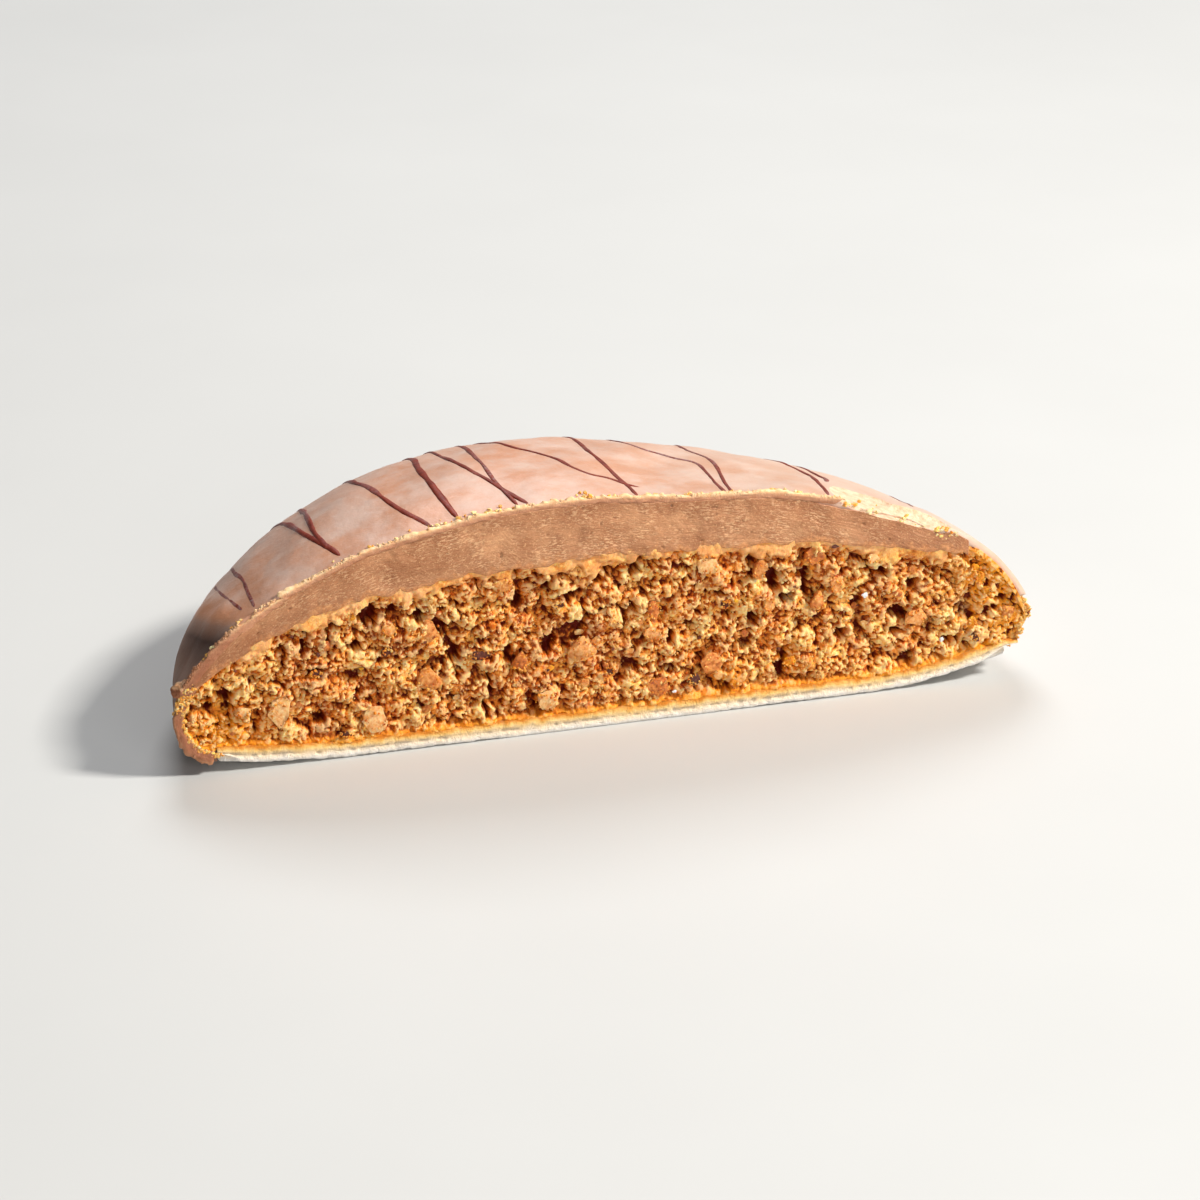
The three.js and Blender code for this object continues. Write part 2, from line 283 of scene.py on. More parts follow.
def summed(x, y, layers):
    """Patches of several sizes added up. Each layer is an amount, a size in mm and a seed."""
    return sum(amount * patches(x, y, size, seed) for amount, size, seed in layers)


def soft_step(value, low, high):
    """Goes smoothly from 0 at the low value to 1 at the high one."""
    share = np.clip((value - low) / (high - low), 0, 1)
    return share * share * (3 - 2 * share)


def soft_stretch(value, rise, fall):
    """1 along a stretch that starts softly over the rise and ends softly over the fall."""
    return soft_step(value, *rise) * (1 - soft_step(value, *fall))


def size_between(kind, share):
    """A size of this kind, from its smallest at a share of 0 to its largest at 1."""
    return kind["smallest"] + (kind["largest"] - kind["smallest"]) * share


# %% Closed meshes and their marks
MERGE = 1e-4


def merged(bm):
    """Joins corners that meet and turns the faces outwards."""
    bmesh.ops.remove_doubles(bm, verts=bm.verts, dist=MERGE)
    bmesh.ops.recalc_face_normals(bm, faces=bm.faces)
    return bm


def marked(bm, **marks):
    """Gives every corner the same numbers for the finishes to read."""
    for name, value in marks.items():
        layer = bm.verts.layers.float.new(name)
        for vert in bm.verts:
            vert[layer] = value


# %% Turned layers
def turned(section_at, steps):
    """The back half of a round. section_at(angle) runs from the axis below to the axis above."""
    bm = bmesh.new()
    row = bm.verts.layers.int.new("row")
    previous = None
    for index, (radius, height) in enumerate(section_at(0.0)):
        vert = bm.verts.new((radius, 0, height))
        vert[row] = index
        if previous:
            bm.edges.new((previous, vert))
        previous = vert
    bmesh.ops.spin(bm, geom=bm.verts[:] + bm.edges[:], cent=(0, 0, 0), axis=(0, 0, 1),
                   angle=math.pi, steps=steps, use_duplicate=False)
    sections = [section_at(math.pi * step / steps) for step in range(steps + 1)]
    for vert in bm.verts:
        step = round(math.atan2(vert.co.y, vert.co.x) / math.pi * steps)
        radius, height = sections[step][vert[row]]
        angle = math.pi * step / steps
        vert.co = (radius * math.cos(angle), radius * math.sin(angle), height)
    bmesh.ops.remove_doubles(bm, verts=bm.verts, dist=MERGE)
    return bm


def knife_cut(bm, behind):
    """Cuts a half round parallel to the knife's plane, a little behind it, and closes the cut."""
    made = bmesh.ops.bisect_plane(bm, geom=bm.verts[:] + bm.edges[:] + bm.faces[:], dist=1e-5,
                                  plane_co=(0, CUT_OFFSET + behind, 0), plane_no=(0, 1, 0),
                                  clear_inner=True)
    rim = [part for part in made["geom_cut"] if isinstance(part, bmesh.types.BMEdge)]
    bmesh.ops.triangle_fill(bm, edges=rim, use_beauty=True)
    bmesh.ops.recalc_face_normals(bm, faces=bm.faces)


# %% Fine surfaces at the cut
def grid(columns, rows, place, layers=()):
    """A fine grid. place(u, v) gives x, y, z and one array for each named layer."""
    bm = bmesh.new()
    values = [bm.verts.layers.float.new(name) for name in layers]
    bmesh.ops.create_grid(bm, x_segments=columns, y_segments=rows, size=0.5)
    corners = np.array([vert.co[:2] for vert in bm.verts]) + 0.5
    x, y, z, *marks = place(corners[:, 0], corners[:, 1])
    for index, vert in enumerate(bm.verts):
        vert.co = (x[index], y[index], z[index])
        for value, mark in zip(values, marks):
            vert[value] = mark[index]
    return bm


def give_depth(bm, behind, narrower=0.0):
    """Turns an open sheet at the cut into a closed slab. Its flat back can be a little narrower."""
    border = [edge for edge in bm.edges if edge.is_boundary]
    made = bmesh.ops.extrude_edge_only(bm, edges=border)
    for part in made["geom"]:
        if isinstance(part, bmesh.types.BMVert):
            part.co.y = CUT_OFFSET + behind
            part.co.x *= 1 - narrower / ROUND_RADIUS
    back = [part for part in made["geom"] if isinstance(part, bmesh.types.BMEdge)]
    bmesh.ops.triangle_fill(bm, edges=[edge for edge in back if edge.is_boundary], use_beauty=False)
    merged(bm)


# %% Taking shapes out of each other, and putting pieces into the scene
TO_FRAME = Matrix.Translation((0, cad_low.y - CUT_OFFSET * 0.001, 0)) @ Matrix.Scale(0.001, 4)


def plain_object(bm, name, finishes=()):
    mesh = bpy.data.meshes.new(name)
    bm.to_mesh(mesh)
    bm.free()
    for finish in finishes:
        mesh.materials.append(finish)
    made = bpy.data.objects.new(name, mesh)
    bpy.context.collection.objects.link(made)
    return made


def carve(bm, lump, whole_finish, broken_finish):
    """Takes a closed lump out of a closed shape. The new faces carry the broken finish."""
    target = plain_object(bm, "target", [whole_finish, broken_finish])
    tool = plain_object(lump.copy(), "tool", [broken_finish])
    modifier = target.modifiers.new("break", "BOOLEAN")
    modifier.operation = "DIFFERENCE"
    modifier.solver = "EXACT"
    modifier.material_mode = "TRANSFER"
    modifier.object = tool
    ready = target.evaluated_get(bpy.context.evaluated_depsgraph_get())
    carved = bmesh.new()
    carved.from_mesh(ready.to_mesh())
    ready.to_mesh_clear()
    bpy.data.objects.remove(target)
    bpy.data.objects.remove(tool)
    return carved


def joined(*shapes):
    """One mesh from several. The float layers of the first are kept where the others have them."""
    whole = bmesh.new()
    for shape in shapes:
        mesh = bpy.data.meshes.new("part")
        shape.to_mesh(mesh)
        whole.from_mesh(mesh)
        shape.free()
        bpy.data.meshes.remove(mesh)
    return whole


def piece(bm, name, node, finishes, smooth=True):
    """Puts a finished mesh, modelled in millimetres round the biscuit's middle, into the frame."""
    bmesh.ops.transform(bm, matrix=TO_FRAME, verts=bm.verts)
    for vert in bm.verts:
        vert.co = [sorted(limits)[1] for limits in zip(cad_low, vert.co, cad_high)]
    for face in bm.faces:
        face.smooth = smooth
    made = plain_object(bm, name, finishes)
    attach(made, "root")
    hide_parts(node)
    triangles = sum(len(face.vertices) - 2 for face in made.data.polygons)
    print(name, "has", triangles, "triangles")
    return made


# %% [markdown]
# ## Finishes
# A finish is a few colours, one or two sizes of unevenness and a roughness. Patterns are worked out
# in millimetres from the object's own coordinates. Uneven tone and fine relief are needed by
# every finish, so each is a node group, with the size and strength set where it is used.

# %% Node helpers
def colour(red, green, blue):
    """A daylight colour, 0 to 255, as the linear numbers of a shader."""
    linear = [((value / 255 + 0.055) / 1.055) ** 2.4 for value in (red, green, blue)]
    return (*linear, 1.0)


def node(tree, kind, inputs, out=0, **settings):
    """Adds a node. Each input is a plain value or what another node gives."""
    made = tree.nodes.new(kind)
    for name, value in settings.items():
        setattr(made, name, value)
    for name, value in inputs.items():
        if isinstance(value, Given):
            tree.links.new(value.socket, made.inputs[name])
        else:
            made.inputs[name].default_value = value
    return Given(tree, made.outputs[out])


class Given:
    """What a node gives. Sums, ranges and mixes of it add the nodes that they need."""

    def __init__(self, tree, socket):
        self.tree = tree
        self.socket = socket

    def math(self, way, other, **settings):
        return node(self.tree, "ShaderNodeMath", {0: self, 1: other}, operation=way, **settings)

    def __add__(self, other):
        return self.math("ADD", other)

    def __sub__(self, other):
        return self.math("SUBTRACT", other)

    def __mul__(self, other):
        return self.math("MULTIPLY", other)

    def or_more(self, other):
        return self.math("MAXIMUM", other)

    def part(self, axis):
        return node(self.tree, "ShaderNodeSeparateXYZ", {"Vector": self}, axis)

    def remap(self, low, high, to_low=0.0, to_high=1.0):
        limits = {"From Min": low, "From Max": high, "To Min": to_low, "To Max": to_high}
        return node(self.tree, "ShaderNodeMapRange", {"Value": self, **limits})

    def mix(self, first, second):
        """The first colour where this is 0, the second where it is 1."""
        return node(self.tree, "ShaderNodeMix", {0: self, 6: first, 7: second}, 2, data_type="RGBA")

    def ramp(self, stops):
        made = node(self.tree, "ShaderNodeValToRGB", {"Fac": self})
        stripe = made.socket.node.color_ramp.elements
        while len(stripe) < len(stops):
            stripe.new(0.5)
        for element, (position, value) in zip(stripe, stops):
            element.position = position
            element.color = value
        return made


def place_of(x, y):
    return node(x.tree, "ShaderNodeCombineXYZ", {"X": x, "Y": y})


# %% Node groups that several finishes share
def new_group(name, inputs):
    """An empty group that takes a place and some numbers, and the sockets that it reads."""
    group = bpy.data.node_groups.new(name, "ShaderNodeTree")
    for label in ("Vector", *inputs):
        kind = "NodeSocketVector" if label == "Vector" else "NodeSocketFloat"
        group.interface.new_socket(label, in_out="INPUT", socket_type=kind)
    into = group.nodes.new("NodeGroupInput")
    return group, {label: Given(group, into.outputs[label]) for label in ("Vector", *inputs)}


def give_out(value, label):
    group = value.tree
    group.interface.new_socket(label, in_out="OUTPUT", socket_type="NodeSocketFloat")
    group.links.new(value.socket, group.nodes.new("NodeGroupOutput").inputs[label])


def cloud_of(given, size, detail, roughness):
    group = given[size].tree
    scale = node(group, "ShaderNodeMath", {0: 1.0, 1: given[size]}, operation="DIVIDE")
    return node(group, "ShaderNodeTexNoise", {
        "Vector": given["Vector"], "Scale": scale, "Detail": detail, "Roughness": roughness,
    })


def make_uneven_tone():
    """A mask of soft patches: 0 to 1, about every Size mm, firmer where Contrast is high."""
    group, given = new_group("uneven_tone", ("Size", "Contrast"))
    firm = (cloud_of(given, "Size", 3.0, 0.6) - 0.5) * given["Contrast"]
    give_out(firm.math("ADD", 0.5, use_clamp=True), "Mask")
    return group


def make_fine_relief():
    """A height of two sizes of unevenness, Coarse and Fine in mm; Share is the fine part."""
    group, given = new_group("fine_relief", ("Coarse", "Fine", "Share"))
    coarse, fine = (cloud_of(given, size, 4.0, 0.55) for size in ("Coarse", "Fine"))
    give_out(coarse + fine * given["Share"], "Height")
    return group


UNEVEN_TONE = make_uneven_tone()
FINE_RELIEF = make_fine_relief()
TO_MILLIMETRES = (1000, 1000, 1000)


class Finish:
    """One material. Its patterns are in millimetres, from the object's own coordinates."""

    def __init__(self, name):
        self.material = bpy.data.materials.new(name)
        self.material.use_nodes = True
        self.tree = self.material.node_tree
        self.tree.nodes.clear()
        metres = node(self.tree, "ShaderNodeTexCoord", {}, "Object")
        scaling = {"Vector": metres, "Scale": TO_MILLIMETRES}
        self.place = node(self.tree, "ShaderNodeMapping", scaling)

    def mark(self, name):
        """A number that the mesh carries."""
        return node(self.tree, "ShaderNodeAttribute", {}, "Fac", attribute_name=name)

    def uneven(self, size, contrast, place=None):
        sizes = {"Vector": place or self.place, "Size": size, "Contrast": contrast}
        return node(self.tree, "ShaderNodeGroup", sizes, node_tree=UNEVEN_TONE)

    def tinted(self, base, layers):
        """Lays colours over a base. Each layer has a size in mm, contrast, share and colour."""
        for size, contrast, share, tint in layers:
            base = (self.uneven(size, contrast) * share).mix(base, tint)
        return base

    def shaded(self, base, rough, relief=None, place=None, glow=None, specular=0.5):
        """Ends the finish with one Principled shader and gives the material.

        relief: coarse and fine size in mm, share of the fine, height in metres.
        glow: share of the light that enters, how far each colour goes, and its scale in metres."""
        values = {"Base Color": base, "Roughness": rough, "Specular IOR Level": specular}
        if relief:
            coarse, fine, share, height = relief
            sizes = {"Vector": place or self.place, "Coarse": coarse, "Fine": fine, "Share": share}
            bumps = node(self.tree, "ShaderNodeGroup", sizes, node_tree=FINE_RELIEF)
            bump = {"Height": bumps, "Distance": height, "Strength": 1.0}
            values["Normal"] = node(self.tree, "ShaderNodeBump", bump)
        if glow:
            values.update(zip(("Subsurface Weight", "Subsurface Radius", "Subsurface Scale"), glow))
        shader = node(self.tree, "ShaderNodeBsdfPrincipled", values)
        output = self.tree.nodes.new("ShaderNodeOutputMaterial")
        self.tree.links.new(shader.socket, output.inputs["Surface"])
        return self.material


# %% [markdown]
# ### Crumb
# The crumb is ground nuts and flour soaked with syrup. Each granule has its own tone, from cream
# over golden to reddish brown. The crevices between them are painted dark red-brown, partly the
# moist crumb's own colour and partly painted shade, and the granules' crests are painted paler, as
# painted highlight. The tone of a granule and the depth of a crevice are known while the relief is
# made, so they are stored on the mesh and the finish only turns them into colours. Light enters the
# granules a little.

# %% Crumb finish
CRUMB_STOPS = [
    (0.0, colour(130, 42, 0)),
    (0.22, colour(206, 98, 14)),
    (0.5, colour(254, 160, 58)),
    (0.75, colour(255, 204, 114)),
    (1.0, colour(255, 234, 184)),
]


def crumb_finish():
    look = Finish("crumb")
    grain = (look.uneven(0.35, 2.0) - 0.5) * 0.32 + (look.uneven(0.11, 2.5) - 0.5) * 0.34
    golden = (look.mark("tone") + grain).ramp(CRUMB_STOPS)
    spice = look.uneven(1.7, 4.0).remap(0.5, 1.0, 0.0, 0.4)
    spiced = spice.mix(golden, colour(164, 92, 52))
    wetness, crevice = look.mark("soaked"), look.mark("crevice")
    soaked = wetness.remap(0, 1).mix(spiced, colour(250, 156, 32))
    smeared = wetness.remap(0, -1).mix(soaked, colour(246, 184, 122))
    # Painted highlight: the crests of the granules are painted paler. Painted shade: crevices and deep
    # holes are painted dark red-brown, partly also the moist crumb's own colour.
    painted_crest_highlight = crevice.remap(-0.15, -0.9, 0.0, 0.6).mix(smeared, colour(255, 220, 158))
    dark = crevice.remap(0.15, 1.0).mix(painted_crest_highlight, colour(104, 22, 0))
    rough = look.uneven(0.4, 3.0).remap(0, 1, 0.32, 0.65)
    return look.shaded(dark, rough, (0.16, 0.07, 0.6, 0.0001),
                       glow=(0.35, (1.0, 0.5, 0.15), 0.0005), specular=0.2)


CRUMB = crumb_finish()

# %% [markdown]
# ### Nuts, skins, peel and sugar
# Chopped nuts are smoother and paler than the crumb, and light goes into them further. One finish
# serves all the small things in the crumb: a tone on each piece picks its colour.

# %% Finishes of the things in the crumb
def morsel_finish(name, colours, rough_range, light_in):
    """colours: from the darkest tone to the palest, each with its place from 0 to 1."""
    look = Finish(name)
    tone = look.mark("tone") + (look.uneven(0.4, 3.0) - 0.5) * 0.45
    shades = tone.ramp([(position, colour(*values)) for position, values in colours.items()])
    rough = look.uneven(0.7, 2.0).remap(0, 1, *rough_range)
    return look.shaded(shades, rough, (0.35, 0.1, 0.7, 0.0002),
                       glow=(light_in, (1.0, 0.6, 0.3), 0.001), specular=0.35)


NUT_TONES = {0.0: (156, 76, 34), 0.3: (212, 124, 54), 0.6: (242, 162, 86), 1.0: (255, 208, 148)}
SKIN_TONES = {0.0: (86, 40, 30), 0.5: (124, 64, 42), 1.0: (160, 90, 52)}
NUT = morsel_finish("nut", NUT_TONES, (0.3, 0.55), 0.45)
SKIN = morsel_finish("nut_skin", SKIN_TONES, (0.4, 0.7), 0.0)
PEEL = morsel_finish("peel", {0.0: (226, 110, 6), 1.0: (255, 190, 44)}, (0.25, 0.45), 0.4)
SUGAR = morsel_finish("sugar", {0.0: (232, 226, 214), 1.0: (252, 250, 246)}, (0.2, 0.45), 0.3)

# %% [markdown]
# ### Nougat
# Nougat cuts like cold butter. The knife leaves it satin smooth, with fine streaks that follow the
# layer, so the streaks read marks on the mesh: the way along the layer, the way across it from
# the top, and the height above its base.

# %% Nougat finish
NOUGAT_PATCHES = [
    (1.5, 4.0, 0.35, colour(222, 160, 112)),
    (8.0, 5.0, 0.4, colour(220, 158, 111)),
    (4.5, 5.0, 0.8, colour(156, 96, 56)),
]


def nougat_finish():
    look = Finish("nougat")
    along, across, above = look.mark("along"), look.mark("across"), look.mark("base")
    run = place_of(along * 0.2, across)
    short = place_of(along * 0.28, across)
    slanting = place_of((along + across) * 0.15, along - across)
    streaks = look.uneven(0.3, 2.2, run)
    tone = streaks.mix(colour(146, 91, 55), colour(186, 128, 87))
    tone = look.tinted(tone, NOUGAT_PATCHES)
    dragged_here = look.uneven(4.0, 4.0).remap(0.5, 1.0, 0.0, 0.45)
    tone = (look.uneven(0.25, 4.0, slanting) * dragged_here).mix(tone, colour(226, 172, 124))
    # Knife strokes: the grooves are painted darker, as painted shade, and the strokes are painted pale,
    # partly their own colour and partly painted glints.
    stroked_here = look.uneven(2.6, 5.0).remap(0.35, 0.95, 0.12, 1.0)
    painted_groove_shade = look.uneven(0.3, 5.0, short).remap(0.5, 0.1, 0.0, 0.45)
    tone = (painted_groove_shade * stroked_here).mix(tone, colour(158, 96, 60))
    pale_strokes_and_glints = look.uneven(0.16, 6.0, short).remap(0.6, 1.0, 0.0, 0.6)
    tone = (pale_strokes_and_glints * stroked_here).mix(tone, colour(246, 200, 152))
    # Painted shade: darker just under the coat's lip, low at the left end and over the left half, away
    # from the key light. The nougat is also painted darker towards its right end.
    painted_shade_low_left = along.remap(-26.0, -42.0) * above.remap(3.5, 1.0)
    at_ends = along.remap(26.0, 32.0, 0.0, 0.6).or_more(along.remap(-14.0, -34.0, 0.0, 0.25))
    painted_shade_under_lip = across.remap(1.6, 0.3, 0.0, 0.3)
    shade = (painted_shade_low_left * 0.75).or_more(at_ends.or_more(painted_shade_under_lip))
    tone = shade.mix(tone, colour(146, 86, 50))
    tone = look.tinted(tone, [(0.14, 4.0, 0.2, colour(212, 154, 106))])
    flecks = look.uneven(0.22, 4.0).remap(0.86, 1.0, 0.0, 0.35)
    tone = flecks.mix(tone, colour(240, 194, 142))
    to_crumb = above + look.uneven(0.9, 3.0) * 1.2
    pasted = look.uneven(0.3, 3.0).mix(colour(184, 112, 60), colour(232, 166, 108))
    tone = to_crumb.remap(1.3, 0.5, 0.0, 0.75).mix(tone, pasted)
    rough = streaks.remap(0, 1, 0.42, 0.58)
    return look.shaded(tone, rough, (0.3, 0.1, 0.8, 0.0001), place=short,
                       glow=(0.1, (1.0, 0.6, 0.4), 0.0005), specular=0.4)


NOUGAT = nougat_finish()

# %% [markdown]
# ### Milk chocolate
# The coat is satin, a little mottled, and greyer where its fat has bloomed. Towards the right it is
# painted paler, as painted light where the key light falls. Low on the left flank a painted highlight
# lies along a ridge, with painted shade under it. Its broken and cut edges are paler and rougher than
# its skin.

# %% Chocolate finishes
# The line on the left flank along which the painted highlight lies, with painted shade below it: its
# height and its slope with depth.
RIDGE = {"height": 9.6, "slope": 0.31}
MILK_SPOTS = [(1.2, 4.0, 0.2, colour(196, 140, 108)), (0.2, 2.0, 0.25, colour(226, 196, 184))]


def milk_finish():
    look = Finish("milk_chocolate")
    x, y, z = (look.place.part(axis) for axis in "XYZ")
    cloud = look.uneven(5.0, 3.8)
    tone = cloud.mix(colour(202, 140, 104), colour(208, 174, 156))
    tone = look.tinted(tone, MILK_SPOTS)
    # Painted light: the coat is painted paler towards the right, where the key light falls.
    tone = x.remap(-5.0, 40.0, 0.0, 0.6).mix(tone, colour(210, 188, 168))
    # Painted shade under the ridge, low on the left flank and fading lower down, and a painted
    # highlight along the ridge.
    over_ridge = z + y * RIDGE["slope"] - RIDGE["height"]
    on_flank = x.remap(-36.0, -39.5) * y.remap(2.0, -15.0)
    painted_shade_under_ridge = over_ridge.remap(0.4, -2.2, 0.0, 0.93) - over_ridge.remap(-2.2, -5.5, 0.0, 0.3)
    dark = on_flank * painted_shade_under_ridge
    tone = dark.mix(tone, colour(48, 20, 9))
    painted_ridge_highlight = over_ridge.remap(-0.7, 0.1) * over_ridge.remap(1.6, 0.6)
    tone = (painted_ridge_highlight * on_flank * 0.7).mix(tone, colour(222, 146, 98))
    rough = cloud.remap(0, 1, 0.34, 0.5) + dark * 0.4
    return look.shaded(tone, rough, (2.2, 0.3, 0.12, 0.00012),
                       glow=(0.1, (1.0, 0.6, 0.4), 0.0008), specular=0.25)


def broken_finish():
    look = Finish("broken_chocolate")
    base = look.uneven(0.9, 2.5).mix(colour(228, 176, 136), colour(252, 220, 188))
    return look.shaded(base, 0.7, (0.6, 0.18, 0.7, 0.0003), glow=(0.1, (1.0, 0.6, 0.4), 0.0006))


def cut_edge_finish():
    look = Finish("cut_chocolate")
    face = look.uneven(0.9, 2.0).mix(colour(176, 114, 78), colour(208, 150, 112))
    lip = look.uneven(0.5, 2.0).mix(colour(246, 182, 122), colour(255, 224, 176))
    brown = look.place.part("X").remap(-38.0, -42.0, 0.0, 0.8).mix(face, colour(144, 82, 48))
    base = look.mark("lip").mix(brown, lip)
    return look.shaded(base, 0.6, (0.4, 0.12, 0.5, 0.0001), glow=(0.15, (1.0, 0.6, 0.3), 0.0006))


def dark_finish():
    look = Finish("dark_chocolate")
    base = look.uneven(1.1, 2.5).mix(colour(104, 30, 16), colour(142, 54, 32))
    bloomed = (look.uneven(0.3, 5.0) * look.mark("bloom")).mix(base, colour(150, 118, 116))
    rough = look.uneven(0.8, 2.0).remap(0, 1, 0.35, 0.55)
    return look.shaded(bloomed, rough, (0.8, 0.2, 0.3, 0.00005), specular=0.2)


MILK = milk_finish()
BROKEN = broken_finish()
CUT_EDGE = cut_edge_finish()
DARK = dark_finish()

# %% [markdown]
# ### Wafer
# The wafer is baked starch, white and full of tiny bubbles. Syrup from the crumb has yellowed its
# upper part, and a line of larger bubbles runs through its middle.

# %% Wafer finish
def wafer_finish():
    look = Finish("wafer")
    height = look.mark("layer_height") + (look.uneven(1.4, 2.0) - 0.5) * 0.3
    tone = look.uneven(0.7, 2.5).mix(colour(226, 219, 208), colour(248, 244, 238))
    tone = height.remap(0.12, 0.85).mix(tone, colour(244, 200, 118))
    tone = height.remap(0.78, 1.0).mix(tone, colour(204, 126, 40))
    # The bubbles are painted greyer: painted shade in their holes.
    tone = look.mark("bubble").remap(0.1, 0.8, 0.0, 0.4).mix(tone, colour(168, 152, 132))
    return look.shaded(tone, 0.85, (0.5, 0.15, 0.7, 0.0002),
                       glow=(0.05, (1.0, 0.8, 0.6), 0.0004), specular=0.25)


WAFER_FINISH = wafer_finish()
print(len(bpy.data.materials), "finishes")

# %% [markdown]
# ## Wafer disc
# The disc is turned, with a little waviness. Its cut face is a fine strip of its own, because
# that is where the two baked skins and the bubbles between them show. Bubbles are pushed into the
# strip where a soft random pattern is high, most of them along the middle line.

# %% Wafer disc
STRIP = {"thickness": 1.75, "behind": 0.06, "depth": 1.4}
WAVE = {"height": 0.06, "size": 6.0, "seed": 11, "lattice_shift": 90}
# The rim is ragged by two sines: height in mm, lobes round the disc and turn.
RAGGED_RIM = [(0.12, 11, 0), (0.1, 23, 1)]
# The rim's own corners: how far it stands out, and how far above or below its middle.
RIM_BULGE = [(0.15, -0.45), (0.06, 0.0), (0.18, 0.4)]
WORN_ENDS = {"left": 1.1, "left_length": 2.8, "right": 1.45, "right_length": 4.5}
FRAYED = [(0.07, 1.1, 26), (0.05, 0.35, 27)]


def wafer_section(angle):
    flat, edge = WAFER["flat_radius"], wafer_radius(angle)
    radii = np.append(np.linspace(0, flat, 22), np.linspace(flat, edge, 16)[1:])
    shift = WAVE["lattice_shift"]
    x, y = radii * np.cos(angle) + shift, radii * np.sin(angle) + shift
    wave = WAVE["height"] * patches(x, y, WAVE["size"], WAVE["seed"])
    ragged = sum(height * math.sin(lobes * angle + turn) for height, lobes, turn in RAGGED_RIM)
    radii = radii + ragged * soft_step(radii, flat, edge)
    bottom = np.column_stack([radii, underside(radii, angle) + np.maximum(wave, 0) * 0.6])
    top = np.column_stack([radii, underside(radii, angle) + WAFER["thickness"] + wave])[::-1]
    middle = (bottom[-1, 1] + top[0, 1]) / 2
    bulge = [(bottom[-1, 0] + out, middle + up) for out, up in RIM_BULGE]
    bottom[0, 1], top[-1, 1] = 0.0, WAFER["thickness"]
    return np.vstack([bottom, bulge, top])


def wafer_strip(u, v):
    left, right = (-wafer_radius(math.pi) - 0.3, wafer_radius(0.0) + 1.5)
    x = left + (right - left) * u
    ragged = 0.06 * patches(x, 0 * x, 0.8, 21)
    frayed = sum(amount for amount, _, _ in FRAYED) + summed(x, 0 * x, FRAYED)
    worn = WORN_ENDS["right"] * soft_step(x, right - WORN_ENDS["right_length"], right)
    worn = worn + WORN_ENDS["left"] * (1 - soft_step(x, left, left + WORN_ENDS["left_length"]))
    missing_below = (1 - v) ** 2 * (frayed * (np.abs(x) > 12) + worn)
    z = underside_at(x) + v * (STRIP["thickness"] + ragged) + missing_below
    middle = np.exp(-((v - 0.48) / 0.13) ** 2)
    holes = soft_step(summed(x, z, [(1, 0.5, 22), (0.3, 3.0, 25)]) + 0.55 * middle, 0.35, 1.1)
    pores = soft_step(patches(x, z, 0.22, 23), 0.45, 0.9)
    bubble = np.clip(holes * (0.35 + 0.65 * middle) + 0.35 * pores, 0, 1)
    bulge = 0.08 * np.cos((v - 0.25) * 4 * math.pi)
    behind = STRIP["behind"] + 0.1 - bulge * 0.5 + 0.12 * bubble + 0.03 * patches(x, z, 0.5, 24)
    rounded = 0.12 * soft_step(np.abs(v - 0.5), 0.4, 0.5)
    return x, CUT_OFFSET + behind + rounded, z, v, bubble


def wafer_disc():
    disc = turned(wafer_section, 150)
    height = disc.verts.layers.float.new("layer_height")
    disc.verts.layers.float.new("bubble")
    knife_cut(disc, 0.7)
    for vert in disc.verts:
        angle = math.atan2(vert.co.y, vert.co.x)
        radius = min(math.hypot(vert.co.x, vert.co.y), float(wafer_radius(angle)))
        vert[height] = (vert.co.z - float(underside(radius, angle))) / WAFER["thickness"]
    strip = grid(900, 22, wafer_strip, ("layer_height", "bubble"))
    give_depth(strip, STRIP["depth"])
    return piece(joined(disc, strip), "wafer_disc", "wafer", [WAFER_FINISH])


wafer_disc()

# %% [markdown]
# ## The torn crumb
# A knife doesn't cut crumb, it tears it: whole granules stay or fall out, and the face is a heap
# of lumps with dark gaps. Real granules by the ten thousand would be slow, so the face is a
# relief: a raster of depths behind the knife's plane, into which every granule is
# pressed as a small mound, and the nearest one wins. Clumps come first, then granules lying on
# them, then grit. Each mark also leaves its tone.

# %% Clumps, as the crumb's solid has them
CLUMP = {"pitch": 2.1, "depth": 2.3, "seed": 20, "smallest": 1.0, "spread": 0.9,
         "back": 1.5, "back_power": 2.2}
KNIFE_WIDTH = 100


def seeded(seed):
    """Numbers from 0 to 1 that are the same at every run."""
    state = seed
    while True:
        state = (state * 1664525 + 1013904223) % 4294967296
        yield state / 4294967296


def crumb_clumps():
    draw = seeded(CLUMP["seed"])
    clumps = []
    x = -KNIFE_WIDTH / 2
    while x < KNIFE_WIDTH / 2:
        z = 0.0
        while z < DOME_HEIGHT:
            place = (x + next(draw) * CLUMP["pitch"], z + next(draw) * CLUMP["pitch"])
            radius = CLUMP["smallest"] + CLUMP["spread"] * next(draw)
            clumps.append((*place, radius, CLUMP["back"] * next(draw) ** CLUMP["back_power"]))
            z += CLUMP["pitch"]
        x += CLUMP["pitch"]
    return clumps


# %% The raster and its marks
CELL = 0.05
RASTER = {"left": -46.0, "right": 46.0, "top": 20.5}
raster_x, raster_z = np.meshgrid(np.arange(RASTER["left"], RASTER["right"], CELL),
                                 np.arange(0.0, RASTER["top"], CELL), indexing="ij")


def window(x, z, reach):
    """The part of the raster round a place."""
    column, row, wide = (x - RASTER["left"]) / CELL, z / CELL, reach / CELL
    return (slice(max(int(column - wide), 0), max(int(column + wide) + 2, 0)),
            slice(max(int(row - wide), 0), max(int(row + wide) + 2, 0)))


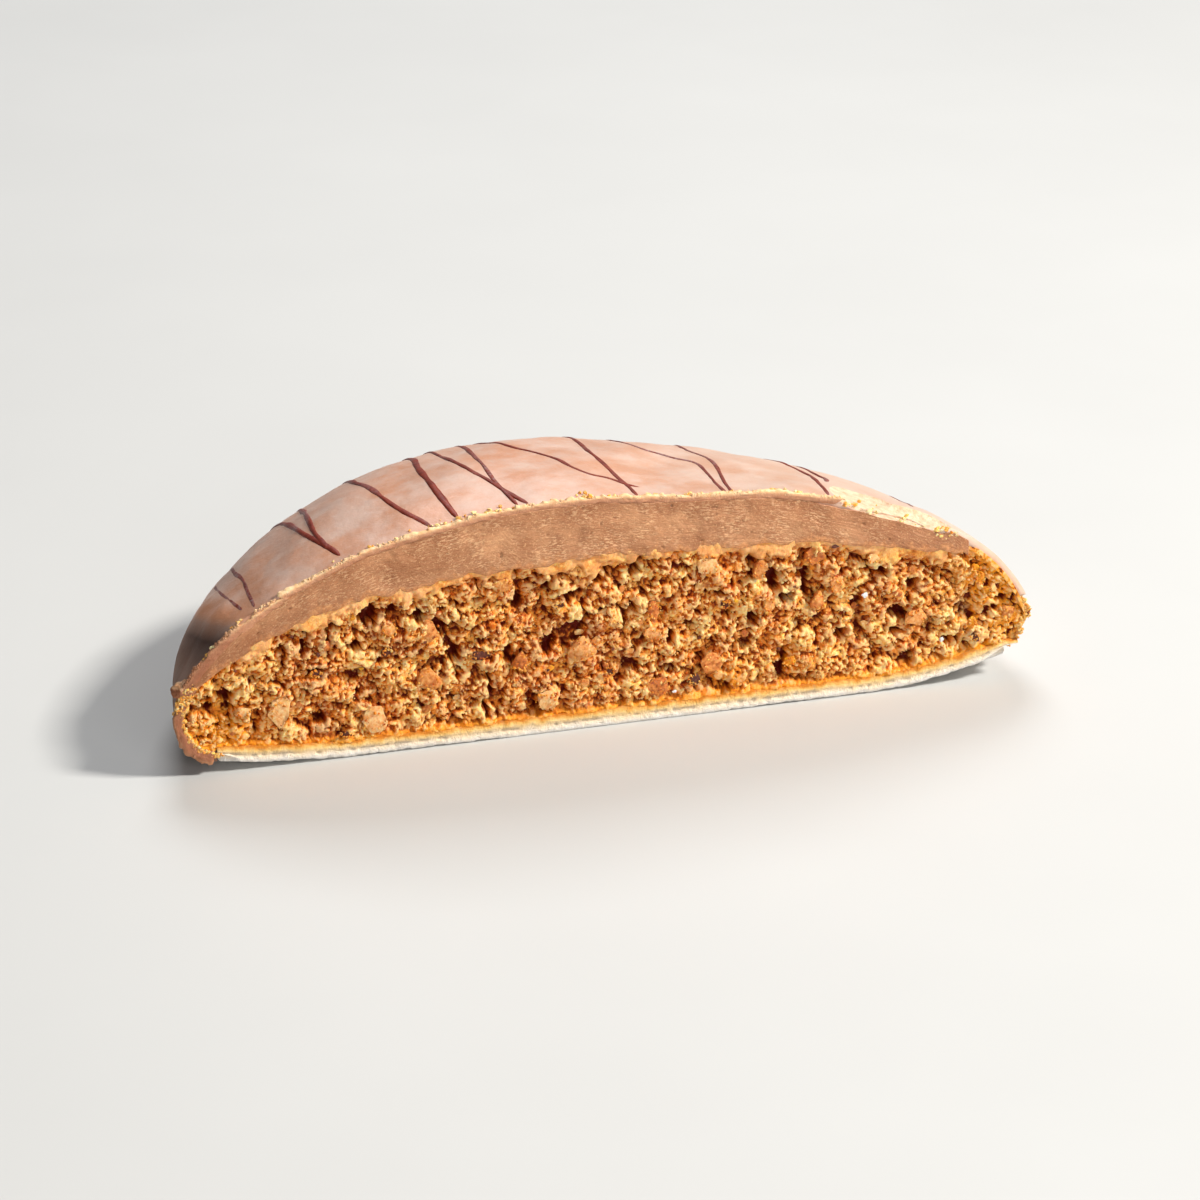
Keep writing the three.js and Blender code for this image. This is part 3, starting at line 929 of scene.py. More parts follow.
def press(depth, tone, x, z, size, back, shade,
          turn=0.0, stretch=1.0, square=2.0, flat=0.0, tilt=(0, 0)):
    """Leaves the mark of one granule wherever it lies nearer to the knife than what is there.

    square: 2 is round, more is angular. flat: 0 is a ball, 1 a chopped piece. tilt: its lean."""
    here = window(x, z, size * stretch)
    across, up = raster_x[here] - x, raster_z[here] - z
    u = (across * math.cos(turn) + up * math.sin(turn)) / (size * stretch)
    v = (up * math.cos(turn) - across * math.sin(turn)) * stretch / size
    away = (np.abs(u) ** square + np.abs(v) ** square) ** (1 / square)
    ball = 1 - np.sqrt(np.maximum(1 - away ** 2, 0))
    surface = back + size * (ball * (1 - flat) + away ** 5 * flat + tilt[0] * u + tilt[1] * v)
    nearer = (away < 1) & (surface < depth[here])
    depth[here][nearer] = surface[nearer]
    tone[here][nearer] = shade


def at(raster, x, z):
    """Reads a raster at any places, blending its four nearest cells."""
    column = np.clip((np.asarray(x) - RASTER["left"]) / CELL, 0, raster.shape[0] - 2.001)
    row = np.clip(np.asarray(z) / CELL, 0, raster.shape[1] - 2.001)
    i, j = column.astype(int), row.astype(int)
    a, b = column - i, row - j
    near = raster[i, j] * (1 - a) + raster[i + 1, j] * a
    far = raster[i, j + 1] * (1 - a) + raster[i + 1, j + 1] * a
    return near * (1 - b) + far * b


def over_raster(*layers):
    return summed(raster_x, raster_z, layers)


def bent(size, bend, grain, seed):
    """Places of the raster moved about, so that patterns read there aren't straight or round."""
    return [axis + bend * size * patches(raster_x, raster_z, size * grain, seed + index)
            for index, axis in enumerate((raster_x, raster_z))]


def blurred(raster, times):
    for _ in range(times):
        raster = (raster * 2 + np.roll(raster, 1, 0) + np.roll(raster, -1, 0)
                  + np.roll(raster, 1, 1) + np.roll(raster, -1, 1)) / 6
    return raster


# %% [markdown]
# The larger holes of the photo's cut face and the larger nut pieces are put where they are
# seen: x, z, width and height on the plane. Everything smaller is drawn at random.

# %% Holes and nuts that are seen
HOLES = [
    (-25.5, 15.0, 1.5, 2.2), (-31.7, 13.5, 0.8, 0.9), (-26.7, 11.5, 1.0, 0.9), (-31.8, 7.4, 0.8, 0.8),
    (-30.4, 4.1, 1.3, 0.9), (-39.9, 8.0, 1.6, 1.2), (-29.6, 13.0, 0.5, 2.8), (-31.0, 9.2, 1.5, 1.0),
    (-7.1, 9.2, 1.6, 2.2), (-10.2, 14.5, 0.8, 1.3), (-16.5, 9.5, 1.2, 1.6), (-13.1, 5.8, 0.7, 2.2),
    (-11.2, 8.4, 0.6, 1.7), (-13.6, 3.2, 0.7, 1.6), (-4.5, 14.5, 1.4, 1.1), (-20.3, 14.2, 1.4, 0.9),
    (-10.3, 18.0, 0.8, 0.9), (2.2, 16.6, 0.9, 1.3), (1.9, 12.4, 1.1, 1.2), (16.5, 13.7, 1.4, 2.2),
    (14.5, 9.6, 1.4, 1.3), (18.2, 11.7, 1.9, 0.9), (17.7, 3.4, 1.4, 1.8), (20.2, 12.8, 1.0, 2.7),
    (30.3, 8.3, 2.3, 1.3), (28.6, 13.2, 0.9, 0.8), (23.9, 6.8, 1.4, 1.1), (29.7, 6.4, 1.2, 0.9),
    (40.6, 7.8, 1.0, 0.9), (36.0, 4.7, 1.9, 0.9), (5.8, 8.4, 1.0, 1.3), (9.2, 6.2, 1.0, 0.9),
]
PALE, GOLDEN, OCHRE, RUSSET = 0.95, 0.75, 0.6, 0.4
NUTS = [
    (-34.7, 5.7, 2.5, 3.0, PALE), (-38.4, 6.3, 1.3, 1.2, PALE), (-25.0, 3.7, 2.6, 2.6, PALE),
    (-7.5, 3.6, 2.0, 1.9, PALE), (-3.7, 8.8, 2.5, 2.4, GOLDEN), (-19.4, 12.6, 1.9, 2.4, OCHRE),
    (-11.8, 16.7, 2.1, 1.3, GOLDEN), (-19.5, 7.5, 2.1, 2.0, OCHRE), (-10.0, 8.1, 1.4, 2.2, RUSSET),
    (9.6, 16.5, 2.5, 1.9, PALE), (3.8, 9.5, 1.9, 1.3, GOLDEN), (3.9, 12.0, 1.2, 2.0, RUSSET),
    (16.0, 11.2, 1.1, 1.8, GOLDEN), (10.3, 5.4, 2.5, 2.0, OCHRE), (15.0, 15.2, 1.6, 1.7, OCHRE),
    (4.2, 3.6, 2.7, 1.6, RUSSET), (27.2, 15.1, 1.4, 1.1, PALE), (21.3, 11.0, 1.2, 2.0, OCHRE),
    (21.0, 16.0, 2.3, 2.0, RUSSET), (42.2, 7.2, 1.3, 1.5, OCHRE), (23.3, 12.4, 1.4, 1.6, GOLDEN),
    (31.9, 7.8, 1.9, 1.8, GOLDEN), (-23.4, 13.3, 1.5, 1.3, GOLDEN),
]
SKINS = [
    (-14.1, 9.5, 2.5, 0.9), (-23.7, 11.0, 1.0, 0.9), (-31.0, 9.6, 1.2, 0.7), (-0.9, 6.1, 1.0, 0.9),
    (11.4, 11.9, 0.9, 1.0), (8.2, 4.0, 1.6, 1.1), (22.9, 16.9, 0.8, 0.4), (33.6, 16.6, 0.8, 0.4),
    (38.5, 4.9, 1.0, 0.7), (-6.0, 13.9, 1.0, 0.6), (-28.2, 2.6, 1.2, 0.7),
]
PEELS = [(38.3, 12.7, 1.0, 0.8), (38.9, 11.5, 1.0, 1.3), (39.7, 10.1, 0.9, 1.1), (38.2, 6.6, 1.0, 1.1),
         (18.3, 4.6, 1.2, 1.1), (12.4, 2.9, 0.8, 0.9)]
GRAINS_OF_SUGAR = [(26.2, 11.2, 0.7, 0.6), (34.8, 5.2, 0.4, 0.5), (6.0, 3.0, 0.5, 0.3)]

# %% Pressing clumps, granules and grit
GRANULES = {"count": 27000, "smallest": 0.09, "largest": 0.27, "spread": 0.15, "sunk": 0.05}
# Cracks between clumps: their spacing, width as a share of it, depth and seed.
CRACKS = [(2.6, 0.15, 0.8, 101)]
# Pits between granules: spacing, where the pattern starts and ends to be a pit, depth and seed.
PITS = [(1.0, 0.28, 0.62, 0.5, 111), (0.55, 0.3, 0.7, 0.35, 121)]
GRIT = {"count": 22000, "smallest": 0.06, "largest": 0.11, "spread": 0.07, "sunk": 0.04}
HOLE_DEPTH = 2.5
# The small holes are drawn within these limits of x, z, width and height.
SMALL_HOLES = {"count": 60, "depth": 1.3, "limits": [(-42, 42), (2, 18), (0.5, 1.4), (0.5, 1.4)]}
NEAREST = 0.03
DEEPEST = 3.2


def lay_of_the_crumb():
    """Where the granules lie behind the plane: on the clumps, and down in the holes."""
    lay = np.full(raster_x.shape, CLUMP["depth"])
    shade = np.full(raster_x.shape, 0.5)
    draw = random.Random(4)
    for x, z, radius, back in crumb_clumps():
        press(lay, shade, x, z, radius, back, draw.uniform(0.2, 0.8))
    lay = lay * 0.6 + 0.24 + over_raster((0.2, 1.4, 91), (0.14, 0.6, 92))
    for size, wide, deep, seed in CRACKS:
        line = np.abs(patches(*bent(size, 0.35, 0.4, seed), size, seed + 2)) / wide
        lay = lay + deep * (1 - soft_step(line, 0, 1)) * (0.6 + over_raster((0.4, 3.0, seed + 3)))
    for size, starts, full, deep, seed in PITS:
        pattern = patches(*bent(size, 0.4, 0.5, seed), size, seed + 2)
        lay = lay + deep * soft_step(pattern, starts, full)
    ragged = 1 + over_raster((0.4, 0.7, 94), (0.2, 0.3, 95))
    small = []
    for _ in range(SMALL_HOLES["count"]):
        small.append([draw.uniform(*limits) for limits in SMALL_HOLES["limits"]])
    for deep, holes in ((HOLE_DEPTH, HOLES), (SMALL_HOLES["depth"], small)):
        for x, z, width, height in holes:
            here = window(x, z, max(width, height))
            away = np.hypot((raster_x[here] - x) / width, (raster_z[here] - z) / height)
            bowl = 1 - (away * 1.7 * ragged[here]) ** 2
            lay[here] = lay[here] + deep * np.sqrt(np.maximum(bowl, 0))
    return lay, shade + over_raster((0.16, 4.5, 93), (0.22, 1.8, 96))


def crumb_relief():
    lay, clump_shade = lay_of_the_crumb()
    depth = np.minimum(lay + 0.4, DEEPEST)
    tone = np.full(raster_x.shape, 0.12)
    draw = random.Random(5)
    for share in (GRANULES, GRIT):
        under = lay if share is GRANULES else depth.copy()
        for _ in range(share["count"]):
            x = draw.uniform(RASTER["left"] + 1, RASTER["right"] - 1)
            z = draw.uniform(1.0, RASTER["top"] - 0.5)
            size = size_between(share, draw.random() ** 2)
            spot = (int((x - RASTER["left"]) / CELL), int(z / CELL))
            back = under[spot] + share["spread"] * draw.random() ** 1.4 - share["sunk"]
            shade = 0.6 * clump_shade[spot] + 0.46 * draw.betavariate(2.2, 2.2) - 0.04
            press(depth, tone, x, z, size, max(back, NEAREST), shade,
                  turn=draw.uniform(0, math.pi), stretch=draw.uniform(1, 1.4),
                  square=draw.uniform(1.8, 4.0), flat=draw.random(),
                  tilt=(draw.uniform(-0.4, 0.4), draw.uniform(-0.4, 0.4)))
    return np.maximum(depth, NEAREST), tone


relief_depth, relief_tone = crumb_relief()
# A crevice is a place deeper than what lies round it, near by and further away. The crumb's finish
# paints crevices and deep holes darker, as painted shade, and places higher than their surroundings
# paler, as painted highlight.
softened = blurred(relief_depth, 60)
broader = blurred(softened, 240)
crevices = 0.55 * np.clip((relief_depth - softened) / 0.24, -1, 1)
crevices = crevices + 0.6 * np.clip((relief_depth - broader) / 0.45, -1, 1)
crevices = np.maximum(crevices, soft_step(relief_depth, 0.9, 2.2) * 2 - 1)
print("crumb relief", relief_depth.shape)
print("depths in mm", np.percentile(relief_depth, (5, 50, 95)).round(2))

# %% [markdown]
# The relief is then read by a fine grid that fills the crumb's outline on the plane. Reading it
# at slightly shifted places makes round mounds irregular. Just under the nougat and just over
# the wafer the crumb is pasted smooth by the knife and soaked.

# %% Crumb body
CRUMB_SLAB = {"back": 3.7, "narrower": 1.4, "columns": 735, "rows": 130}
TIP = {"x": 41.0, "underside": [(41.0, 2.5), (42.7, 3.6), (43.3, 4.7), (44.6, 7.4)]}
# Places x, z and reach that syrup and peel have turned orange.
GLOWS = [
    (38.8, 12.2, 2.0), (40.5, 10.0, 1.8), (38.2, 6.6, 1.0), (18.2, 4.4, 1.3), (12.0, 3.2, 1.4),
    (-39.5, 4.0, 2.2),
]
SHIFTS = {"x": [(0.16, 0.8, 31), (0.06, 0.3, 32)], "z": [(0.16, 0.8, 33), (0.06, 0.3, 34)]}
# The pasted band under the nougat: its reach, and a place where it hangs lower.
PASTED = {"reach": 0.9, "along": [(0.9, 2.4, 36), (0.5, 0.8, 40)], "rough": [(0.4, 0.5, 50)],
          "lower": 0.6, "lower_x": -1.0, "lower_width": 4.5}
SMOOTH = {"depth": 0.14, "layers": [(0.05, 1.2, 37), (0.05, 0.4, 38)]}
# Towards the right tip the crumb is shallower, paler and more soaked.
RIGHT_TIP = {"shallower": 0.45, "paler": 0.36, "soaked": 0.45}


def crumb_limits(x):
    """Lower and upper height of the crumb on the plane."""
    tip = soft_step(x, TIP["x"], TIP["x"] + 2.5)
    low = np.where(lining_low(x) > 0, lining_low(x), underside_at(x) + STRIP["thickness"] - 0.1)
    at_tip = low * (1 - tip) + (outer_low(x) + 0.6) * tip
    low = np.where((tip > 0) & (outer_low(x) > 0), at_tip, low)
    broken_off = np.maximum(low, np.interp(x, *np.transpose(TIP["underside"])))
    low = np.where(x > TIP["x"], broken_off, low)
    left_end, right_end = LEFT["nougat_end"], RIGHT["nougat_end"]
    beside = 0.15 + 0.5 * soft_step(x, right_end - 0.2, right_end + 1.5)
    beside = lining_high(x) + beside + 0.7 * soft_step(-x, left_end - 0.6, left_end + 0.4)
    under_nougat = np.minimum(cake_top_at(x) + 0.5, lining_high(x))
    high = np.where((x > -left_end) & (x < right_end), under_nougat, beside)
    return low, np.maximum(high, low + 0.02)


def pasted_share(x, z):
    """Where the knife has pasted nougat over the crumb."""
    reach = PASTED["reach"] + summed(x, 0 * x, PASTED["along"]) + summed(x, z, PASTED["rough"])
    from_lowest = (x - PASTED["lower_x"]) / PASTED["lower_width"]
    reach = reach + PASTED["lower"] * np.exp(-from_lowest ** 2)
    pasted = 1 - soft_step(cake_top_at(x) - z, reach - 0.6, reach + 0.6)
    return pasted * (x > -LEFT["nougat_end"] + 3) * (x < RIGHT["nougat_end"] - 2)


def crumb_face(u, v):
    left, right = LINING_ENDS[0] + 0.02, OUTER_ENDS[1] - 0.25
    x = left + (right - left) * u
    low, high = crumb_limits(x)
    z = low + (high - low) * v
    read_x, read_z = x + summed(x, z, SHIFTS["x"]), z + summed(x, z, SHIFTS["z"])
    pasted = pasted_share(x, z)
    soaked_low = (1 - soft_step(z - low, 0.15, 0.9)) * (x < TIP["x"] + 0.2)
    paste = np.maximum(pasted * 0.85, soaked_low * 0.6)
    depth = at(relief_depth, read_x, read_z) + 0.05 * patches(x, z, 0.2, 35)
    depth = depth * (1 - paste) + (SMOOTH["depth"] + summed(x, z, SMOOTH["layers"])) * paste
    over_coat = (x > RIGHT["nougat_end"]) & (z > lining_high(x) - 0.15)
    depth = np.where(over_coat, np.minimum(depth, 0.24), depth)
    depth = np.clip(depth * (1 - RIGHT_TIP["shallower"] * soft_step(x, 36, 43)), NEAREST, DEEPEST)
    # crevice carries the painted shade of crevices and the painted highlight of crests to the finish.
    crevice = at(crevices, read_x, read_z) * (1 - paste) - 0.1 * paste
    tone = at(relief_tone, read_x, read_z) * (1 - 0.7 * pasted)
    tone = tone + 0.7 * pasted * (0.6 + 0.2 * patches(x, z, 0.7, 48))
    tone = tone + RIGHT_TIP["paler"] * soft_step(x, 31, 42)
    rims = soft_step(np.abs(x), 34, 43) * 0.4 * (1 + 0.5 * patches(x, z, 2.0, 39))
    rims = rims + RIGHT_TIP["soaked"] * soft_step(x, 37, 42)
    glow = sum(np.exp(-((x - a) ** 2 + (z - b) ** 2) / c ** 2) for a, b, c in GLOWS)
    glow = 0.85 * glow * (1 + 0.5 * patches(x, z, 0.9, 47))
    soaked = np.clip(soaked_low * 0.7 + rims + glow, 0, 1) * (1 - pasted)
    soaked = soaked - pasted * np.clip(0.7 + 0.6 * patches(x, z, 1.5, 49), 0, 1)
    return x, CUT_OFFSET + depth, z, tone, crevice, soaked


def cake_section(angle):
    """A plain core behind the torn face."""
    shell = coat_section(angle, COAT + 0.2, 3, 12)
    edge = float(wafer_radius(angle))
    radii = np.linspace(0, 1, 6) * edge
    bottom = [(radius, float(underside(radius, angle)) + 1.7) for radius in radii]
    end = float(around("nougat_end", angle)) - 0.3
    side = [point for point in shell if point[0] > end][1:]
    side = [point for point in side if point[1] > bottom[-1][1]][:5]
    while len(side) < 5:
        side.append(side[-1])
    top = [(share * end, float(cake_top(share * end, angle))) for share in np.linspace(1, 0, 7)]
    return np.array(bottom + side + top)


def crumb_body():
    marks = ("tone", "crevice", "soaked")
    face = grid(CRUMB_SLAB["columns"], CRUMB_SLAB["rows"], crumb_face, marks)
    give_depth(face, CRUMB_SLAB["back"], CRUMB_SLAB["narrower"])
    core = turned(cake_section, 60)
    marked(core, tone=0.4, crevice=0, soaked=0)
    knife_cut(core, DEEPEST + 0.1)
    return piece(joined(face, core), "crumb_body", "cake", [CRUMB])


crumb_body()

# %% [markdown]
# ## Granules that stand free
# A relief can't overhang, so thousands of real granules lie on it. All are one small ball of
# twenty faces, copied in one array, each with its own size, turn, stretch and dents. Their
# facets stay sharp, because chopped nuts break sharp.

# %% Free granules
def many(places, sizes, marks, seed, dents=0.28):
    """One mesh of many dented balls. marks holds one array for each named layer."""
    ball = bmesh.new()
    bmesh.ops.create_icosphere(ball, subdivisions=1, radius=0.5)
    corners = np.array([vert.co[:] for vert in ball.verts])
    faces = np.array([[vert.index for vert in face.verts] for face in ball.faces])
    ball.free()
    numbers = np.random.default_rng(seed)
    count = len(places)
    stretch = numbers.uniform(0.65, 1.15, (count, 1, 3))
    lumps = corners[None] * (1 + numbers.uniform(-dents, dents, (count, len(corners), 1))) * stretch
    turns, _ = np.linalg.qr(numbers.normal(size=(count, 3, 3)))
    lumps = np.einsum("nij,nkj->nki", turns, lumps) * sizes[:, None, None] + places[:, None]
    shifted = faces[None] + np.arange(count)[:, None, None] * len(corners)
    mesh = bpy.data.meshes.new("many")
    mesh.from_pydata(lumps.reshape(-1, 3).tolist(), [], shifted.reshape(-1, 3).tolist())
    for name, values in marks.items():
        layer = mesh.attributes.new(name, "FLOAT", "POINT")
        layer.data.foreach_set("value", np.repeat(values, len(corners)))
    bm = bmesh.new()
    bm.from_mesh(mesh)
    bpy.data.meshes.remove(mesh)
    bmesh.ops.recalc_face_normals(bm, faces=bm.faces)
    return bm


FREE = {"count": 8200, "smallest": 0.13, "largest": 0.34, "deepest": 2.4}
# A ball's middle lies this share of its size behind the knife's plane, or further.
BALL_REACH = 0.62
ROUND_A_NUT = 24
# Runs of the outline (from x, z to x, z), how many crumbs, how far in and how far behind the cut.
TIP_CRUMBS = [
    ((44.9, 8.8), (44.7, 6.4), 190, 0.2, 0.9, 3.2),
    ((44.7, 6.4), (42.8, 3.8), 240, 1.0, 1.6, 3.0),
    ((-41.0, 1.4), (-45.0, 7.4), 130, 0.7, 1.2, 0.3),
    ((-45.0, 6.8), (-43.5, 10.2), 160, 0.0, 1.4, 0.8),
    ((-45.1, 8.0), (-44.0, 9.6), 30, 0.2, 1.0, 0.1),
]
# A crevice of -0.3 gives the tip crumbs a little painted highlight.
TIP_LOOK = {"size": (0.28, 0.55), "tone": (0.4, 0.9), "crevice": -0.3}


def around_the_nuts(numbers):
    """Places x, z of crumbs that lie over the edges of the larger pieces."""
    larger = np.array([part[:4] for part in NUTS + PEELS + SKINS])
    turn = numbers.uniform(0, 2 * math.pi, (len(larger), ROUND_A_NUT))
    reach = numbers.uniform(0.3, 0.56, turn.shape)
    x = larger[:, 0:1] + larger[:, 2:3] * reach * np.cos(turn)
    z = larger[:, 1:2] + larger[:, 3:4] * reach * np.sin(turn)
    return x.ravel(), z.ravel()


def at_the_tips(numbers):
    """Places x, y, z of crumbs that cover the crumb's two ends."""
    groups = []
    for first, last, count, least, most, deep in TIP_CRUMBS:
        spots = numbers.integers(spot_on_outline(first), spot_on_outline(last), count)
        inset = numbers.uniform(least, most, count)
        x, z = outer_even[spots, 0], outer_even[spots, 1]
        reach = np.hypot(x * 0.15, z - 7) + 0.01
        x, z = x - x * 0.15 * inset / reach, z - inset * (z - 7) / reach
        y = CUT_OFFSET + 0.15 + deep * numbers.random(count)
        groups.append(np.column_stack([x, y, z]))
    return np.vstack(groups)


def free_granules():
    numbers = np.random.default_rng(55)
    x = numbers.uniform(LINING_ENDS[0] + 0.5, OUTER_ENDS[1] - 0.8, FREE["count"])
    low, high = crumb_limits(x)
    z = low + 0.3 + (high - low - 0.9) * numbers.random(FREE["count"])
    rim_x, rim_z = around_the_nuts(numbers)
    x, z = np.append(x, rim_x), np.append(z, rim_z)
    low, high = crumb_limits(x)
    on_rim = np.arange(len(x)) >= FREE["count"]
    size = size_between(FREE, numbers.random(len(x)) ** 2)
    depth = at(relief_depth, x, z)
    depth = np.where(on_rim, np.minimum(depth, 0.12), depth)
    clear_of_paste = cake_top_at(x) - z > 0.9 + 0.6 * patches(x, z, 3.0, 56)
    kept = (high - low > 1.5) & (z > low) & clear_of_paste & (depth < FREE["deepest"])
    x, z, size, depth, on_rim = x[kept], z[kept], size[kept], depth[kept], on_rim[kept]
    y = CUT_OFFSET + np.maximum(depth + size * 0.2, size * BALL_REACH)
    tone = np.clip(0.55 * at(relief_tone, x, z) + 0.5 * numbers.random(len(x)), 0, 1)
    # Granules deep in the relief get painted shade from the crevices under them.
    crevice = np.where(on_rim, 0.0, np.clip(at(crevices, x, z) * 0.8 - 0.1, -1, 1))
    tips = at_the_tips(numbers)
    count = len(tips)
    size = np.append(size, numbers.uniform(*TIP_LOOK["size"], count))
    places = np.vstack([np.column_stack([x, y, z]), tips])
    places[:, 1] = np.maximum(places[:, 1], CUT_OFFSET + size * BALL_REACH)
    all_x = places[:, 0]
    marks = {
        "tone": np.append(tone, numbers.uniform(*TIP_LOOK["tone"], count)),
        "crevice": np.append(crevice, np.full(count, TIP_LOOK["crevice"])),
        "soaked": soft_step(all_x, 34, 43) * 0.3 + soft_step(-all_x, 34, 43) * 0.15,
    }
    bm = many(places, size, marks, 57)
    return piece(bm, "free_granules", "cake", [CRUMB], smooth=False)


free_granules()

# %% [markdown]
# ## Nuts, skins, peel and sugar
# A chopped nut has a few flat breaks, one of them level with the cut. Each is a ball flattened by
# planes and closed again, with its edges rounded by a small bevel. It sits in the crumb with
# its flat side just behind the knife's plane.

# %% Chopped morsels
# Which way a break faces: limits of x, y and z. Most lean a little to the front.
BREAK_WAYS = [(-1, 1), (-0.5, 0.2), (-1, 1)]


def chopped(x, z, width, height, draw, behind, breaks=4, depth=0.8):
    """One chopped morsel in its own mesh, flat where the knife met it."""
    bm = bmesh.new()
    bmesh.ops.create_icosphere(bm, subdivisions=3, radius=0.5)
    thickness = (width + height) * depth * 0.55
    bmesh.ops.scale(bm, vec=(width * 1.1, thickness, height * 1.1), verts=bm.verts)
    turn = Matrix.Rotation(draw.uniform(-0.5, 0.5), 4, "Y")
    bmesh.ops.rotate(bm, cent=(0, 0, 0), matrix=turn, verts=bm.verts)
    planes = [(Vector((0, -1, 0)), 0.02)]
    for _ in range(breaks):
        way = Vector([draw.uniform(*limits) for limits in BREAK_WAYS]).normalized()
        reach = math.hypot(way.x * width, way.z * height) / 2
        planes.append((way, max(reach * draw.uniform(0.72, 0.95), 0.1)))
    for way, reach in planes:
        bmesh.ops.bisect_plane(bm, geom=bm.verts[:] + bm.edges[:] + bm.faces[:], dist=1e-5,
                               plane_co=way * reach, plane_no=way, clear_outer=True)
        bmesh.ops.holes_fill(bm, edges=[edge for edge in bm.edges if edge.is_boundary])
    sharp = [edge for edge in bm.edges if edge.is_manifold and edge.calc_face_angle() > 0.6]
    bmesh.ops.bevel(bm, geom=sharp, offset=0.05 * min(width, height), offset_type="OFFSET", segments=2,
                    profile=0.5, affect="EDGES", clamp_overlap=True, material=-1)
    for vert in bm.verts:
        here = vert.co + Vector((x, z, 3))
        push = 0.26 * noise.noise(here * 1.7 / min(width, height)) + 0.1 * noise.noise(here * 5.0)
        vert.co += vert.co.normalized() * push * min(width, height)
    front = min(vert.co.y for vert in bm.verts)
    bmesh.ops.translate(bm, vec=(x, CUT_OFFSET + behind - front, z), verts=bm.verts)
    bmesh.ops.recalc_face_normals(bm, faces=bm.faces)
    return bm


def morsels(name, places, finish_used, seed, **shape):
    """All morsels of one kind as one piece. places holds x, z, width, height, tone, behind."""
    draw = random.Random(seed)
    made = []
    for x, z, width, height, shade, behind in places:
        bm = chopped(x, z, width, height, draw, behind, **shape)
        tone = bm.verts.layers.float.new("tone")
        for vert in bm.verts:
            outward = math.hypot((vert.co.x - x) / width, (vert.co.z - z) / height) * 2
            vert[tone] = shade - 0.15 * min(outward, 1) ** 3
        made.append(bm)
    return piece(joined(*made), name, "cake", [finish_used])


def scattered(count, seed, sizes, shades, behind):
    """Random places in the crumb for more of the same."""
    draw = random.Random(seed)
    places = []
    while len(places) < count:
        x, z = draw.uniform(-40, 40), draw.uniform(2.5, 18)
        low, high = crumb_limits(np.array([x]))
        size = draw.uniform(*sizes)
        if low[0] + size < z < high[0] - size - 0.5:
            back = float(at(relief_depth, x, z)) * 0.5 + draw.uniform(*behind)
            height, shade = size * draw.uniform(0.6, 1.1), draw.uniform(*shades)
            places.append((x, z, size, height, shade, max(back, 0.05)))
    return places


# The seen pieces get a tone and a place behind the plane, and more of the same are scattered.
nuts = [(*nut, 0.22 if nut[4] > 0.7 else 0.4) for nut in NUTS]
nuts += scattered(60, 61, sizes=(0.5, 1.0), shades=(0.3, 0.95), behind=(0.1, 0.3))
skins = [(*skin, 0.25, 0.2) for skin in SKINS]
skins += scattered(24, 63, sizes=(0.2, 0.45), shades=(0.2, 0.9), behind=(0.0, 0.15))
peels = [(*peel, 0.6, 0.3) for peel in PEELS]
peels += scattered(8, 65, sizes=(0.4, 0.8), shades=(0, 1), behind=(0, 0.2))
sugar = [(*grain, 0.8, 0.05) for grain in GRAINS_OF_SUGAR]
morsels("nut_pieces", nuts, NUT, 62)
morsels("nut_skins", skins, SKIN, 64, breaks=5, depth=0.3)
morsels("peel_pieces", peels, PEEL, 66, breaks=6)
morsels("sugar_grains", sugar, SUGAR, 67, breaks=5)

# %% [markdown]
# ## Broken places
# At the right shoulder a flake of the coat, with some nougat, broke away as the knife came through,
# and the coat's thin edge is missing at the right tip. Both breaks are rough lumps taken out with a
# Boolean, so that what is left has the hollow facet of a real break.

# %% Rough lumps
CHIPS = [
    {"centre": (30.5, CUT_OFFSET, 21.3), "size": (7.2, 4.2, 2.6), "lean": 0.36, "roughness": 0.05,
     "square": 0.7},
    {"centre": (27.0, CUT_OFFSET, 22.2), "size": (4.5, 11.0, 2.1), "lean": 0.40, "roughness": 0.07,
     "square": 0.7},
]
TIP_CHIP = {"centre": (44.4, CUT_OFFSET - 0.2, 5.2), "size": (3.5, 3.0, 3.9), "lean": 0.0,
            "roughness": 0.08, "square": 0.8}
SHARD = {"centre": (-44.1, CUT_OFFSET + 0.9, 9.2), "size": (1.1, 0.8, 0.9), "lean": -0.5,
         "roughness": 0.4, "square": 0.9}


def rough_lump(centre, size, lean, roughness, square, fineness=5):
    """A dented ball. square: 1 is round and less is boxy."""
    bm = bmesh.new()
    bmesh.ops.create_icosphere(bm, subdivisions=fineness, radius=1.0)
    for vert in bm.verts:
        place = Vector([math.copysign(abs(value) ** square, value) for value in vert.co])
        push = noise.noise(place * 2.1 + Vector(centre)) + 0.6 * noise.noise(place * 5.0)
        push += 0.35 * noise.noise(place * Vector(size) * 2.5)
        vert.co = place * (1 + roughness * push)
    bmesh.ops.scale(bm, vec=size, verts=bm.verts)
    bmesh.ops.rotate(bm, cent=(0, 0, 0), matrix=Matrix.Rotation(lean, 3, "Y"), verts=bm.verts)
    bmesh.ops.translate(bm, vec=centre, verts=bm.verts)
    bmesh.ops.recalc_face_normals(bm, faces=bm.faces)
    return bm


chip_lumps = [rough_lump(**chip) for chip in CHIPS]
tip_lump = rough_lump(**TIP_CHIP, fineness=4)

# %% [markdown]
# ## Nougat layer
# Behind the cut the nougat is a plain turned crescent. Its face is a fine slab in
# front, with the streaks and small pits that the knife leaves. It ends bluntly at the right.

# %% Nougat layer
NOUGAT_FACE = {"behind": 0.14, "depth": 1.2, "columns": 640, "rows": 44}
NOUGAT_EDGE = [(0.3, 2.6, 41), (0.2, 0.8, 42)]
# The coat's cut edge is brown left of the first x and pale right of the second.
BROWN_END = (-41, -36)
# The chip starts softly between the first two x and ends between the others.
CHIPPED = ((22, 23.5), (34, 36))
